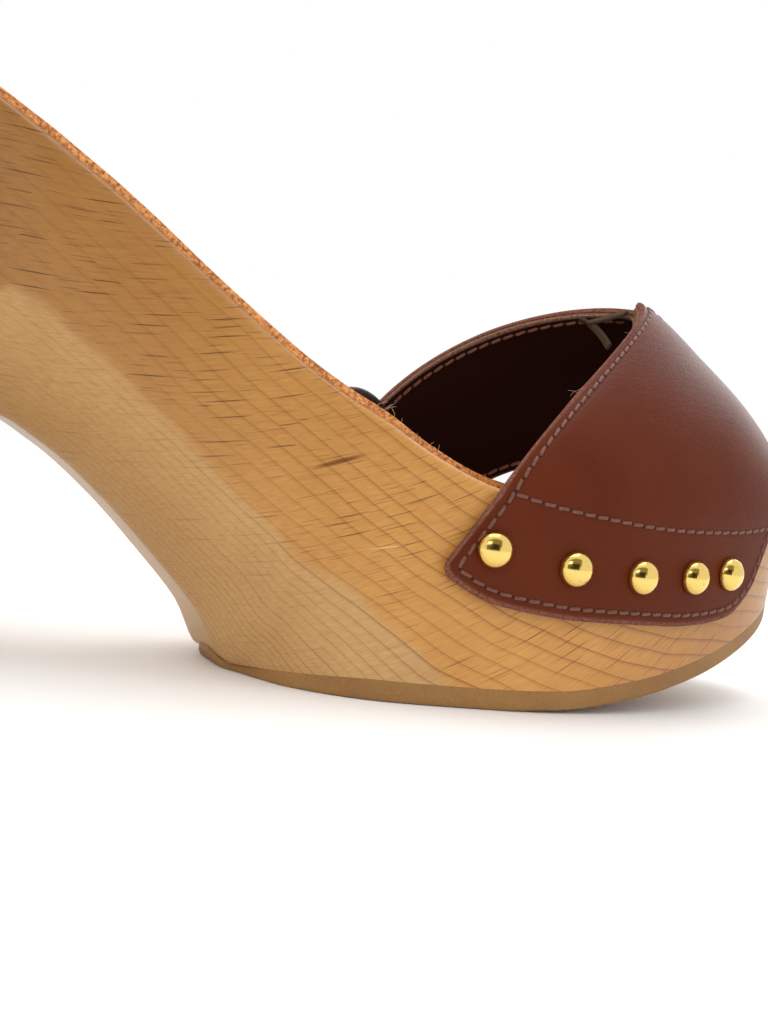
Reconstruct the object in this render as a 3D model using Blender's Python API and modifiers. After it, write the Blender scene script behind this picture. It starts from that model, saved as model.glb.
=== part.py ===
"""Wooden sole sandal: a high-heeled beech mule with a two-panel leather upper.

Right shoe, size 38 EU. The toe points to +X, the medial side is +Y, the sole stands on z = 0.
The sole is one carved piece of beech, lofted through slanting stations from the back of the
heel to the toe. Everything else is worked out from the same stations: the rubber forefoot sole
and the leather insole follow its faces, and the panels and their nails follow its side.
Tables are in millimetres; the meshes are in metres.
"""

import math

import bmesh
import bpy
import numpy as np
from mathutils import Matrix

MM = 0.001
ORIGIN = np.array([125.0, -1.24, 0.0])

# Driving dimensions, in millimetres
TOE_X = 242.0
HEEL_X = 8.0
FIT_GAP = 0.3
RIM_ROUND = 2.4
HEEL_ROUND = 33.0
TIP_ROUND = 11.5
TOE_START = 160.0
TOE_POWER = 1.8
RUBBER = 3.8
RUBBER_REAR = 95.0
RUBBER_THIN = 0.8
RUBBER_TAPER = 27.0
LIFT = 5.0
INSOLE = 1.4
LEATHER = 2.7
RIB_STEPS = 12
LEG_STEPS = 3
LAP_STEPS = 3
LAP_PRESS = 0.6
NAIL_HEAD = 7.6
NAIL_DOME = 2.9
NAIL_SHANK = 1.5
NAIL_LENGTH = 11.0
NAIL_GAPS = (18.3, 17.6, 16.2, 12.9)
INNER_NAIL_GAPS = (14.0, 14.0)
NAIL_RISE = 12.4
NAIL_CLIMB = 0.4

# Stations of the sole, from the back of the heel to the toe. top_* is the middle of the footbed
# and low_* the middle of the underside; rim and low are half widths there, shift moves the pair
# to the medial side, belly and flare bend the side between them and bow hollows the station.
SOLE_COLUMNS = "top_x top_z low_x low_z rim low shift belly flare bow dish"
SOLE_ROWS = {
    "heel back": (8, 114.2, 15.0, 5.3, 28.4, 11.5, 0.0, 1.2, 2.2, 4.0, 0.0),
    "heel seat": (17, 111.2, 20.0, 5.3, 28.4, 11.5, 0.0, 1.2, 2.2, 3.0, 1.6),
    "heel middle": (28, 106.4, 27.5, 5.3, 28.4, 11.5, 0.0, 1.2, 2.2, 1.0, 2.4),
    "heel front": (38, 101.4, 37.0, 5.3, 28.4, 11.5, 0.0, 1.25, 2.1, -1.0, 2.2),
    "breast": (42.5, 99.0, 35.8, 20.5, 28.3, 11.0, -0.1, 1.4, 1.9, -1.0, 2.0),
    "breast top": (47, 96.6, 35.0, 36.5, 28.2, 11.0, -0.3, 1.8, 1.5, 0.0, 1.8),
    "arch rear": (52, 93.7, 37.6, 44.6, 28.0, 10.0, -0.5, 2.4, 1.2, 0.0, 1.6),
    "arch top": (58, 90.3, 45.0, 46.2, 27.7, 8.5, -0.8, 3.2, 1.0, 0.0, 1.4),
    "shank": (67, 84.7, 56.2, 41.0, 27.4, 7.5, -1.2, 4.0, 1.0, 0.0, 1.2),
    "waist": (77.5, 77.5, 68.0, 32.4, 27.5, 7.0, -1.8, 4.0, 1.0, 0.0, 1.0),
    "waist front": (89, 69.7, 79.6, 21.9, 28.6, 7.5, -2.4, 4.0, 1.0, 0.0, 0.8),
    "tread rear": (99.5, 62.9, 89.5, 12.0, 30.2, 8.0, -2.8, 4.0, 1.0, 0.0, 0.8),
    "tread turn": (107.5, 58.5, 97.5, 1.6, 31.8, 11.5, -3.0, 4.5, 1.0, 0.0, 0.8),
    "tread": (115.5, 54.8, 106.0, 2.9, 33.6, 25.5, -3.0, 5.0, 1.0, 0.0, 0.8),
    "ball rear": (126, 49.2, 121.0, 4.1, 36.4, 35.3, -2.8, 5.0, 1.0, 0.0, 0.8),
    "ball": (140, 44.3, 139.5, 4.1, 39.2, 38.9, -2.2, 5.0, 1.0, 0.0, 0.8),
    "joint": (158, 42.0, 158.0, 4.5, 41.0, 40.9, -1.3, 5.0, 1.0, 0.0, 0.8),
    "toe rear": (178, 41.2, 178.0, 7.0, 41.0, 40.9, -0.1, 5.0, 1.0, 0.0, 0.8),
    "toes": (200, 42.3, 199.5, 11.8, 41.0, 40.9, 1.4, 5.0, 1.0, 0.0, 0.6),
    "toe": (222, 45.4, 221.3, 19.2, 41.0, 40.9, 2.8, 5.0, 1.0, 0.0, 0.4),
    "toe tip": (242, 50.0, 241.0, 27.4, 41.0, 40.9, 4.2, 5.0, 1.0, 0.0, 0.0),
}

# Ribs of the panels, from their back edge to their front edge. foot_* is where the rib starts on
# the side of the sole, rim_x where it passes the footbed's edge and top_* its end at the ridge.
# rise and reach are the lengths of the curve's handles at the edge and at the ridge, lean tips
# the first handle forward, sweep moves the second one forward and crown lifts it. The ribs of the
# inner panel end under the ridge of the outer one.
OUTER_COLUMNS = "foot_x foot_z rim_x top_x top_y top_z rise reach lean sweep crown"
OUTER_RIBS = {
    "back edge": (128.4, 27.0, 138.6, 194.0, 2.5, 91.3, 15.0, 13.0, 0.45, 0.0, -2.0),
    "heelward": (141.0, 21.6, 147.5, 200.5, 3.5, 88.2, 20.0, 15.0, 0.40, 0.0, 0.0),
    "middle": (162.0, 19.8, 165.5, 209.0, 3.5, 82.4, 24.0, 16.0, 0.30, 0.0, 0.0),
    "toward": (184.0, 19.8, 187.0, 219.0, 1.5, 74.4, 22.0, 15.0, 0.30, 0.0, 0.0),
    "low": (203.0, 22.0, 207.0, 228.0, -2.0, 65.3, 15.0, 11.0, 0.25, 0.0, 0.0),
    "front edge": (212.0, 28.0, 219.5, 236.0, -5.0, 55.0, 8.0, 6.0, 0.20, 0.0, 0.0),
}
INNER_COLUMNS = "foot_x foot_z rim_x rise reach lean sweep crown"
INNER_RIBS = {
    "back edge": (131.0, 27.0, 137.0, 36.0, 22.0, 0.40, -8.0, 2.5),
    "heelward": (138.0, 22.0, 143.0, 33.0, 21.0, 0.42, -4.0, 1.0),
    "middle": (150.0, 20.5, 153.0, 30.0, 20.0, 0.50, -1.0, 0.5),
    "toward": (163.0, 20.4, 165.0, 26.0, 19.0, 0.65, 0.0, 1.0),
    "front edge": (175.0, 22.0, 176.5, 24.0, 18.0, 0.90, 0.0, 3.0),
}

# Colours are sRGB, then roughness and metallic
FINISHES = {
    "beech": ((204, 150, 92), 0.34, 0.0),
    "rubber": ((150, 118, 84), 0.80, 0.0),
    "insole_leather": ((178, 108, 66), 0.72, 0.0),
    "upper_leather": ((98, 53, 32), 0.48, 0.0),
    "brass": ((206, 160, 88), 0.22, 1.0),
}


class Table:
    """Named columns read along the rows by a smooth curve that does not overshoot."""

    def __init__(self, columns, rows):
        self.names = columns.split()
        self.values = np.array(list(rows.values()), float)
        self.slopes = self._slopes(self.values)
        self.last = len(self.values) - 1

    @staticmethod
    def _slopes(values):
        steps = np.diff(values, axis=0)
        before, after = steps[:-1], steps[1:]
        same = before * after > 0
        total = np.where(same, before + after, 1.0)
        inner = np.where(same, 2.0 * before * after / total, 0.0)
        return np.vstack([steps[:1], inner, steps[-1:]])

    def at(self, place):
        """Values at a place between 0, the first row, and last, the last row."""
        place = min(max(place, 0.0), float(self.last))
        row = min(int(place), self.last - 1)
        t = place - row
        p0, p1 = self.values[row], self.values[row + 1]
        m0, m1 = self.slopes[row], self.slopes[row + 1]
        mixed = (
            p0 * (2 * t**3 - 3 * t**2 + 1)
            + m0 * (t**3 - 2 * t**2 + t)
            + p1 * (3 * t**2 - 2 * t**3)
            + m1 * (t**3 - t**2)
        )
        return dict(zip(self.names, mixed))

    def where(self, name, value):
        """The place where a rising column reaches a value."""
        low, high = 0.0, float(self.last)
        for _ in range(40):
            middle = 0.5 * (low + high)
            if self.at(middle)[name] < value:
                low = middle
            else:
                high = middle
        return 0.5 * (low + high)


SOLE = Table(SOLE_COLUMNS, SOLE_ROWS)


def rounding(distance, radius, power=2.0):
    """Factor of a width that closes to nothing at distance 0 and is full past the radius."""
    short = min(max((radius - distance) / radius, 0.0), 1.0)
    return math.sqrt(1.0 - short**power)


def toe_rounding(x, end):
    return rounding(end - x, end - TOE_START, TOE_POWER)


class Station:
    """One slanting section of the sole."""

    def __init__(self, place):
        row = SOLE.at(place)
        self.row = row
        self.top = np.array([row["top_x"], row["shift"], row["top_z"]])
        self.low = np.array([row["low_x"], row["shift"], row["low_z"]])
        toe_end = SOLE.values[-1][SOLE.names.index("low_x")]
        heel_end = SOLE.values[0][SOLE.names.index("low_x")]
        self.rim = row["rim"] * rounding(row["top_x"] - HEEL_X, HEEL_ROUND)
        self.rim *= toe_rounding(row["top_x"], TOE_X)
        self.flat = row["low"] * toe_rounding(row["low_x"], toe_end)
        if place < 3.0:
            self.flat = row["low"] * rounding(row["low_x"] - heel_end, TIP_ROUND)
        self.height = np.linalg.norm(self.top - self.low)
        self.down = (self.low - self.top) / self.height
        self.forward = np.array([-self.down[2], 0.0, self.down[0]])

    def half_width(self, t):
        """Half width at t, 0 at the footbed and 1 at the underside."""
        bend = (1.0 - t ** self.row["belly"]) ** self.row["flare"]
        return self.flat + (self.rim - self.flat) * bend

    def middle(self, t):
        hollow = self.forward * self.row["bow"] * 4.0 * t * (1.0 - t)
        return self.top + (self.low - self.top) * t + hollow

    def side(self, t, across):
        """Point on the side, across = -1 lateral or 1 medial."""
        return self.middle(t) + np.array([0.0, across * self.half_width(t), 0.0])

    def footbed(self, share, lift=0.0, margin=0.0):
        """Point of the footbed, share = -1 to 1 across it, lifted off the wood."""
        half = max(self.rim - margin, 0.0)
        dish = self.row["dish"] * (1.0 - share**2)
        point = self.top + self.down * (dish - lift)
        return point + np.array([0.0, share * half, 0.0])

    def under(self, share, drop=0.0, narrow=1.0):
        """Point of the underside, share = -1 to 1 across it, dropped off the wood."""
        point = self.low + self.down * drop
        return point + np.array([0.0, share * self.flat * narrow, 0.0])


def station_places(first, last, step):
    """Evenly spaced places with closer ones where the outline rounds off."""
    count = max(int(round((last - first) / step)), 2)
    return list(np.linspace(first, last, count + 1))


def material(name):
    """A Principled material from the table of finishes."""
    (red, green, blue), roughness, metallic = FINISHES[name]
    linear = [((c / 255 + 0.055) / 1.055) ** 2.4 if c > 10 else c / 3294.6 for c in (red, green, blue)]
    made = bpy.data.materials.new(name)
    made.use_nodes = True
    shader = made.node_tree.nodes["Principled BSDF"]
    shader.inputs["Base Color"].default_value = (*linear, 1.0)
    shader.inputs["Roughness"].default_value = roughness
    shader.inputs["Metallic"].default_value = metallic
    return made


def collection(name):
    made = bpy.data.collections.new(name)
    bpy.context.scene.collection.children.link(made)
    return made


def add_object(name, mesh, group, finish=None):
    """A named object with its own material, in a collection of the scene."""
    made = bpy.data.objects.new(name, mesh)
    group.objects.link(made)
    if finish:
        mesh.materials.append(finish)
    return made


def loft(name, rings):
    """Closed mesh through rings of equal length; the two end rings may be folded flat."""
    body = bmesh.new()
    rows = [[body.verts.new((p - ORIGIN) * MM) for p in np.asarray(ring)] for ring in rings]
    count = len(rings[0])
    for here, there in zip(rows, rows[1:]):
        for i in range(count):
            j = (i + 1) % count
            body.faces.new((here[i], here[j], there[j], there[i]))
    body.faces.new(rows[0][::-1])
    body.faces.new(rows[-1])
    bmesh.ops.remove_doubles(body, verts=body.verts, dist=0.02 * MM)
    bmesh.ops.dissolve_degenerate(body, edges=body.edges, dist=0.01 * MM)
    bmesh.ops.triangulate(body, faces=[f for f in body.faces if len(f.verts) > 4])
    bmesh.ops.recalc_face_normals(body, faces=body.faces)
    mesh = bpy.data.meshes.new(name)
    body.to_mesh(mesh)
    body.free()
    return mesh


def sheet(name, rows):
    """Open mesh through rows of points, for a Solidify modifier."""
    body = bmesh.new()
    grid = [[body.verts.new((p - ORIGIN) * MM) for p in np.asarray(row)] for row in rows]
    for here, there in zip(grid, grid[1:]):
        for i in range(len(here) - 1):
            body.faces.new((here[i], here[i + 1], there[i + 1], there[i]))
    mesh = bpy.data.meshes.new(name)
    body.to_mesh(mesh)
    body.free()
    return mesh


def apply_modifiers(made):
    """Bake the modifiers of an object into its mesh."""
    graph = bpy.context.evaluated_depsgraph_get()
    baked = bpy.data.meshes.new_from_object(made.evaluated_get(graph))
    made.modifiers.clear()
    made.data = baked


def boolean(made, cutter, operation):
    """Join or cut with the exact solver, then bake."""
    modifier = made.modifiers.new(operation.lower(), "BOOLEAN")
    modifier.operation = operation
    modifier.solver = "EXACT"
    modifier.object = cutter
    apply_modifiers(made)


def sole_ring(station):
    """Outline of one station: footbed, rounded rim, side and underside, lateral half first."""
    rim_t = min(RIM_ROUND / station.height, 0.2)
    inset = min(RIM_ROUND, station.rim * 0.5)
    side_t = [0.16, 0.28, 0.4, 0.5, 0.6, 0.7, 0.79, 0.87, 0.94, 1.0]
    half = [station.footbed(s, 0.0, inset) for s in (0.0, 0.5, 1.0)]
    for angle in (30.0, 60.0):
        turn = math.radians(angle)
        t = rim_t * (1.0 - math.cos(turn))
        point = station.side(t, 1.0)
        point[1] -= inset * (1.0 - math.sin(turn))
        half.append(point)
    half += [station.side(t, 1.0) for t in [rim_t] + side_t]
    half += [station.under(s) for s in (0.5, 0.0)]
    lateral = []
    for point in half[1:-1]:
        mirrored = point.copy()
        mirrored[1] = 2.0 * station.row["shift"] - point[1]
        lateral.append(mirrored)
    return half + lateral[::-1]


def make_sole(group):
    """The beech sole with its heel, in one piece."""
    places = [0.0, 0.06, 0.16, 0.32, 0.5, 0.7] + station_places(1.0, 18.0, 0.5)
    places += [18.3, 18.6, 18.85, 19.1, 19.35, 19.55, 19.72, 19.86, 19.95, 20.0]
    mesh = loft("wood_sole", [sole_ring(Station(p)) for p in places])
    return add_object("wood_sole", mesh, group, material("beech"))


def make_rubber(group):
    """Forefoot outsole: the underside's shape, thinned to nothing much at its rounded rear."""
    first = low_place(RUBBER_REAR)
    places = [first + d for d in (0.0, 0.05, 0.14, 0.28, 0.48, 0.75)]
    places += station_places(math.ceil(places[-1] + 0.2), 18.0, 0.5)
    places += [18.3, 18.6, 18.85, 19.1, 19.35, 19.55, 19.72, 19.86, 19.95, 20.0]
    rings = []
    for place in places:
        station = Station(place)
        along = station.row["low_x"] - RUBBER_REAR
        narrow = rounding(along + 0.4, 9.0)
        taper = math.sin(0.5 * math.pi * min(max(along / RUBBER_TAPER, 0.0), 1.0))
        thick = RUBBER_THIN + (RUBBER - RUBBER_THIN) * taper
        shares = (-1.0, -0.6, 0.0, 0.6, 1.0)
        upper = [station.under(s, FIT_GAP, narrow) for s in shares]
        lower = [station.under(s, FIT_GAP + thick, narrow) for s in shares[::-1]]
        rings.append(upper + lower)
    mesh = loft("rubber_outsole", rings)
    flatten(mesh, 0.0, 0.25)
    return add_object("rubber_outsole", mesh, group, material("rubber"))


def low_place(x):
    """The place in front of the breast where the underside's middle reaches x."""
    low, high = 7.0, float(SOLE.last)
    for _ in range(40):
        middle = 0.5 * (low + high)
        if SOLE.at(middle)["low_x"] < x:
            low = middle
        else:
            high = middle
    return low


def flatten(mesh, level, reach):
    """Bring vertices lower than reach over a level to it, so that the piece stands flat."""
    for vertex in mesh.vertices:
        if vertex.co.z / MM - level < reach:
            vertex.co.z = level * MM


def make_lift(group):
    """Rubber tip under the heel, with the heel's own outline."""
    front = Station(3.0)
    back_x = SOLE.values[0][SOLE.names.index("low_x")]
    outline = []
    for step in range(17):
        turn = math.pi * (0.5 + step / 16.0)
        x = back_x + TIP_ROUND + TIP_ROUND * math.cos(turn)
        outline.append((x, front.row["low"] * math.sin(turn)))
    outline += [(front.low[0], -front.row["low"]), (front.low[0], front.row["low"])]
    rings = [[(x, y, z) for x, y in outline] for z in (0.0, LIFT)]
    return add_object("heel_lift", loft("heel_lift", rings), group, material("rubber"))


def insole_margin(station):
    """The insole reaches the rim along the shank and draws in beside the panels."""
    x = station.top[0]
    drawn = min(max((x - 112.0) / 30.0, 0.0), 1.0)
    return RIM_ROUND + 3.6 * drawn * drawn * (3.0 - 2.0 * drawn)


def make_insole(group):
    """Leather insole on the footbed."""
    places = [0.16, 0.3, 0.5, 0.75] + station_places(1.0, 18.0, 0.5)
    places += [18.3, 18.6, 18.85, 19.1, 19.3, 19.45, 19.55]
    rings = []
    for place in places:
        station = Station(place)
        margin = min(insole_margin(station), station.rim * 0.6)
        shares = (-1.0, -0.6, 0.0, 0.6, 1.0)
        lower = [station.footbed(s, FIT_GAP, margin) for s in shares]
        upper = [station.footbed(s, FIT_GAP + INSOLE, margin) for s in shares[::-1]]
        rings.append(lower + upper)
    return add_object("insole", loft("insole", rings), group, material("insole_leather"))


def wall_point(x, z, across, off):
    """Point beside the sole's side at x and z, off millimetres clear of the wood."""
    station = Station(SOLE.where("top_x", x))
    ahead = Station(SOLE.where("top_x", min(x + 1.0, TOE_X - 0.5)))
    behind = Station(SOLE.where("top_x", x - 1.0))
    widening = (ahead.side(0.0, across) - behind.side(0.0, across)) / 2.0
    normal = np.array([-widening[1], 1.0, 0.0]) * across / math.hypot(widening[1], 1.0)
    t = min(max((station.top[2] - z) / station.height, 0.0), 1.0)
    return np.array([x, station.side(t, across)[1], z]) + normal * off


def bezier(points, t):
    """Point of a cubic curve."""
    a, b, c, d = points
    return a * (1 - t) ** 3 + b * 3 * t * (1 - t) ** 2 + c * 3 * t**2 * (1 - t) + d * t**3


class Panel:
    """A leather panel: ribs that climb the sole's side and arch over to the ridge."""

    off = FIT_GAP + LEATHER / 2

    def __init__(self, columns, ribs, across):
        self.table = Table(columns, ribs)
        self.across = across

    def top(self, place):
        row = self.table.at(place)
        return np.array([row["top_x"], row["top_y"], row["top_z"]])

    def leg(self, place, share):
        """Point on the sole's side, share 0 at the foot and 1 at the footbed's edge."""
        row = self.table.at(place)
        edge_z = SOLE.at(SOLE.where("top_x", row["rim_x"]))["top_z"] - 1.0
        x = row["foot_x"] + (row["rim_x"] - row["foot_x"]) * share
        z = row["foot_z"] + (edge_z - row["foot_z"]) * share
        return wall_point(x, z, self.across, self.off)

    def arch(self, place, share):
        """Point above the footbed's edge, share 1 at the ridge."""
        row = self.table.at(place)
        edge, top = self.leg(place, 1.0), self.top(place)
        up = np.array([row["lean"], 0.0, 1.0]) / math.hypot(row["lean"], 1.0)
        first = edge + up * row["rise"]
        second = top + np.array([row["sweep"], self.across * row["reach"], row["crown"]])
        return bezier((edge, first, second, top), share)

    def rib(self, place):
        legs = [self.leg(place, step / LEG_STEPS) for step in range(LEG_STEPS)]
        return legs + [self.arch(place, step / RIB_STEPS) for step in range(RIB_STEPS + 1)]


class InnerPanel(Panel):
    """The panel whose ribs run on under the outer panel, behind its ridge edge."""

    def __init__(self, columns, ribs, across, outer):
        super().__init__(columns, ribs, across)
        self.outer = outer
        self.inset = 0.07

    def outer_place(self, place):
        """The place along the outer panel's ridge above this one."""
        span = self.outer.table.last - 2.0 * self.inset
        return self.inset + span * place / self.table.last

    def under_outer(self, place, share):
        """Point of this panel pressed against the inside of the outer one."""
        at = self.outer_place(place)
        along = self.outer.arch(at, share) - self.outer.arch(at, share - 0.02)
        across = self.outer.arch(at + 0.05, share) - self.outer.arch(at - 0.05, share)
        normal = np.cross(across, along)
        normal *= math.copysign(1.0, normal[2]) / np.linalg.norm(normal)
        return self.outer.arch(at, share) - normal * (LEATHER - LAP_PRESS)

    def top(self, place):
        return self.under_outer(place, 1.0)

    def rib(self, place):
        lap = [self.under_outer(place, 1.0 - step / RIB_STEPS) for step in range(1, LAP_STEPS + 1)]
        return super().rib(place) + lap


OUTER = Panel(OUTER_COLUMNS, OUTER_RIBS, -1.0)
INNER = InnerPanel(INNER_COLUMNS, INNER_RIBS, 1.0, OUTER)


def make_panel(name, ribs, group):
    """A sheet with the leather's thickness on both sides of it."""
    made = add_object(name, sheet(name, ribs), group)
    solid = made.modifiers.new("thickness", "SOLIDIFY")
    solid.thickness = LEATHER * MM
    solid.offset = 0.0
    solid.use_even_offset = True
    solid.use_quality_normals = True
    apply_modifiers(made)
    return made


def make_upper(group, cutters):
    """Two panels, the outer lapped over the inner along the ridge and joined there."""
    outer_ribs = [OUTER.rib(place) for place in station_places(0.0, 5.0, 0.25)]
    inner_ribs = [INNER.rib(place) for place in station_places(0.0, 4.0, 0.2)]
    upper = make_panel("upper", outer_ribs, group)
    inner = make_panel("inner_panel_to_join", inner_ribs, cutters)
    upper.data.materials.append(material("upper_leather"))
    boolean(upper, inner, "UNION")
    return upper


def nail_places(panel, first_x, gaps):
    """Points on a panel's outside, gaps apart, with the direction out of the leather."""
    places = []
    x = first_x
    for number, gap in enumerate((*gaps, 0.0)):
        z = SOLE.at(SOLE.where("top_x", x))["top_z"] - NAIL_RISE + NAIL_CLIMB * number
        surface = wall_point(x, z, panel.across, LEATHER + 2 * FIT_GAP)
        out = surface - wall_point(x, z, panel.across, 0.0)
        places.append((surface, out / np.linalg.norm(out)))
        ahead = x
        while np.linalg.norm(wall_point(ahead, z, panel.across, 3.0) - surface) < gap:
            ahead += 0.2
        x = ahead
    return places


def lathe(name, profile, segments, group):
    """Solid of revolution about Z from (radius, height) points, by the Screw modifier."""
    body = bmesh.new()
    chain = [body.verts.new((r * MM, 0.0, z * MM)) for r, z in profile]
    for a, b in zip(chain, chain[1:]):
        body.edges.new((a, b))
    mesh = bpy.data.meshes.new(name)
    body.to_mesh(mesh)
    body.free()
    made = add_object(name, mesh, group)
    screw = made.modifiers.new("turn", "SCREW")
    screw.steps = segments
    screw.render_steps = segments
    screw.use_merge_vertices = True
    screw.merge_threshold = 0.01 * MM
    screw.use_normal_calculate = True
    apply_modifiers(made)
    outward(made.data)
    return made


def outward(mesh):
    """Turn all faces of a closed mesh outward."""
    body = bmesh.new()
    body.from_mesh(mesh)
    bmesh.ops.remove_doubles(body, verts=body.verts, dist=0.01 * MM)
    bmesh.ops.recalc_face_normals(body, faces=body.faces)
    body.to_mesh(mesh)
    body.free()


def nail_profile():
    """Half outline of a domed nail: crown, rim, flat back, shank and point."""
    radius = NAIL_HEAD / 2
    crown = []
    for angle in (90.0, 66.0, 44.0, 24.0, 6.0):
        turn = math.radians(angle)
        crown.append((radius * math.cos(turn), NAIL_DOME * math.sin(turn)))
    crown[0] = (0.0, NAIL_DOME)
    shank = NAIL_SHANK / 2
    point = [(radius, 0.0), (shank, 0.0), (shank, -NAIL_LENGTH + 2.0), (0.0, -NAIL_LENGTH)]
    return crown + point


def frame_along(position, out):
    """Matrix with its origin at a position and its Z axis along a direction."""
    side = np.cross((0.0, 0.0, 1.0), out)
    side /= np.linalg.norm(side)
    matrix = np.eye(4)
    matrix[:3, :3] = np.array([side, np.cross(out, side), out]).T
    matrix[:3, 3] = (np.asarray(position) - ORIGIN) * MM
    return Matrix(matrix.tolist())


def bore_profile():
    """Half outline of the hole that a nail's shank runs in."""
    radius, depth = NAIL_SHANK / 2 + FIT_GAP, NAIL_LENGTH + 2 * FIT_GAP
    return [(0.0, 0.0), (radius, 0.0), (radius, -depth), (0.0, -depth)]


def make_nails(group, cutters, sole, upper):
    """Domed nails through both panels into the sole, each in its own hole."""
    brass = material("brass")
    rows = (("outer", OUTER, 138.4, NAIL_GAPS), ("inner", INNER, 140.5, INNER_NAIL_GAPS))
    for label, panel, first_x, gaps in rows:
        for number, (position, out) in enumerate(nail_places(panel, first_x, gaps), 1):
            frame = frame_along(position, out)
            nail = lathe(f"nail_{label}_{number}", nail_profile(), 12, group)
            nail.data.materials.append(brass)
            nail.data.transform(frame)
            bore = lathe(f"bore_{label}_{number}", bore_profile(), 8, cutters)
            bore.data.transform(frame)
            boolean(upper, bore, "DIFFERENCE")
            boolean(sole, bore, "DIFFERENCE")


def hide_cutters(cutters):
    for cutter in cutters.objects:
        cutter.hide_render = True
        cutter.display_type = "WIRE"


def clear_scene():
    for old in list(bpy.data.objects):
        bpy.data.objects.remove(old, do_unlink=True)


def main():
    clear_scene()
    sandal = collection("wooden_sole_sandal")
    cutters = collection("cutters")
    sole = make_sole(sandal)
    make_rubber(sandal)
    make_lift(sandal)
    make_insole(sandal)
    upper = make_upper(sandal, cutters)
    make_nails(sandal, cutters, sole, upper)
    hide_cutters(cutters)


main()
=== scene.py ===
"""Looks of a high wooden sole sandal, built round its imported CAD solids.

Lengths in the tables are millimetres in the maker's frame: x from the back of the heel to the toe,
y to the medial side, z up from the floor. to_row turns them into the row frame, in metres.
"""

import math

import bmesh
import bpy
import numpy as np
from bpy.props import FloatProperty, FloatVectorProperty, PointerProperty
from mathutils import Matrix


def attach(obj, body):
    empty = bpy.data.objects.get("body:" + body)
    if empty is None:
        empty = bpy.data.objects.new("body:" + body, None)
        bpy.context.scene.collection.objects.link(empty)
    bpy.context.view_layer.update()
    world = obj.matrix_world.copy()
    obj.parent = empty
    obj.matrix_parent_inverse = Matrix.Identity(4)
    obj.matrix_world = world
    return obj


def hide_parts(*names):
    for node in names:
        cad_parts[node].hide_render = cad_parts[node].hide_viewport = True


bl_info = {
    "name": "Wooden sole sandal",
    "version": (1, 0, 0),
    "blender": (4, 5, 0),
    "location": "3D View > Sidebar > Sandal",
    "description": "Builds the visible leather, beech, rubber and brass of a wooden sole sandal",
    "category": "Add Mesh",
}

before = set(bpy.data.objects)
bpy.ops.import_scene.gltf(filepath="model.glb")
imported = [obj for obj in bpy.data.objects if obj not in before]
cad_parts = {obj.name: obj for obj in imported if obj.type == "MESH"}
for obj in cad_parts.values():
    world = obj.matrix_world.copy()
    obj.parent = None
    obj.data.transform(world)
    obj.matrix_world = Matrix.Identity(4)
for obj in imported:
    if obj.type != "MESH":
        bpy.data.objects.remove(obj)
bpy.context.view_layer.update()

MM = 0.001
ORIGIN = np.array([125.0, -1.24, 0.0])
UP = np.array([0.0, 0.0, 1.0])

# Sole, rubber and insole
TOE_X = 242.0
HEEL_X = 8.0
HEEL_STRETCH = 34.0
TOE_BEND = 200.0
FIT_GAP = 0.3
GLUED = 0.03
RIM_ROUND = 2.4
HEEL_ROUND = 33.0
TIP_ROUND = 11.5
TOE_START = 160.0
TOE_POWER = 1.8
RUBBER = 3.8
RUBBER_REAR = 95.0
RUBBER_THIN = 0.8
RUBBER_TAPER = 27.0
LIFT = 5.0
INSOLE = 1.4
INSOLE_REAR = 8.45
INSOLE_FRONT = 235.6

# Upper: its leather, its seams and its nails
LEATHER = 2.7
LAP_PRESS = 0.6
LAP_SHARE = 0.25
CORNERS = (3.2, 1.8, 3.2, 1.2)
SPLIT = 0.15
EDGE_WEAR = 0.3
SEAM_GROOVE = 0.16
SEAM_WIDTH = 0.55
CROSS_FALL = 0.022
STITCH_SHARE = 0.93
STITCH_RISE = 0.18
AWL_RADIUS = 0.34
HAIR_RADIUS = 0.03
FIBRE_X = (113.0, 128.0)
FIBRE_COUNT = 20
FIBRE_SHARES = (0.552, 0.556, 0.56, 0.772)
FINE_STEP = 0.25
NAIL_HEAD = 7.6
NAIL_DOME = 2.9
NAIL_X = 138.4
NAIL_GAPS = (18.3, 17.6, 16.2, 12.9)
INNER_NAIL_X = 140.5
INNER_NAIL_GAPS = (14.0, 14.0)
NAIL_RISE = 12.4
NAIL_CLIMB = 0.4

# Marks of the wood: middle, end and thickness of a spindle, in millimetres of the row frame
STREAK = ((-18.3, -33.9, 45.6), (-11.6, -35.2, 48.2), 0.7)
SCRATCH = ((-7.6, -36.7, 30.1), (-2.2, -37.8, 31.3), 0.16)

# Rings and grain of the wood
RINGS_PER_MM = 0.28
RING_SLOPE = 0.65
RING_EASE = 0.00365
RING_EASE_X = (108.0, 190.0)
RING_TOE_SLOPE = 0.05
FACET_RING = 1.7
GRAIN_X = 51.0
GRAIN_BOW = 0.003
GRAIN_DRIFT = 2.0
FIBRES = (0.15, 1.2, 2.6)

# Late wood along one ring: place, strength
LATE_WOOD = ((0.0, 0.12), (0.06, 0.0), (0.7, 0.0), (0.9, 0.35), (0.955, 1.0), (1.0, 0.12))

# Where the facet begins: x of the rim above it, share of the way down the side
FACET = (
    (42.0, 0.42),
    (50.0, 0.47),
    (57.0, 0.52),
    (62.0, 0.56),
    (97.0, 0.57),
    (103.0, 0.54),
    (113.6, 0.59),
    (118.5, 0.62),
    (123.0, 0.73),
    (129.5, 0.82),
    (134.5, 0.95),
    (137.3, 1.0),
)

# Finish and floor, in metres and radians
BUMP_DEPTH = 0.0002
SHARP = math.radians(40.0)
FLOOR_DROP = 0.0002

# Camera: place; azimuth, elevation and roll in degrees; sensor in millimetres; pixels
CAMERA_SPOT = (-0.1, -287.3, 49.0)
CAMERA_TURN = (-25.0, 2.5, 7.5)
SENSOR = 36.0
FOCAL = 1420.0
PICTURE_HIGH = 1024.0

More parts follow.
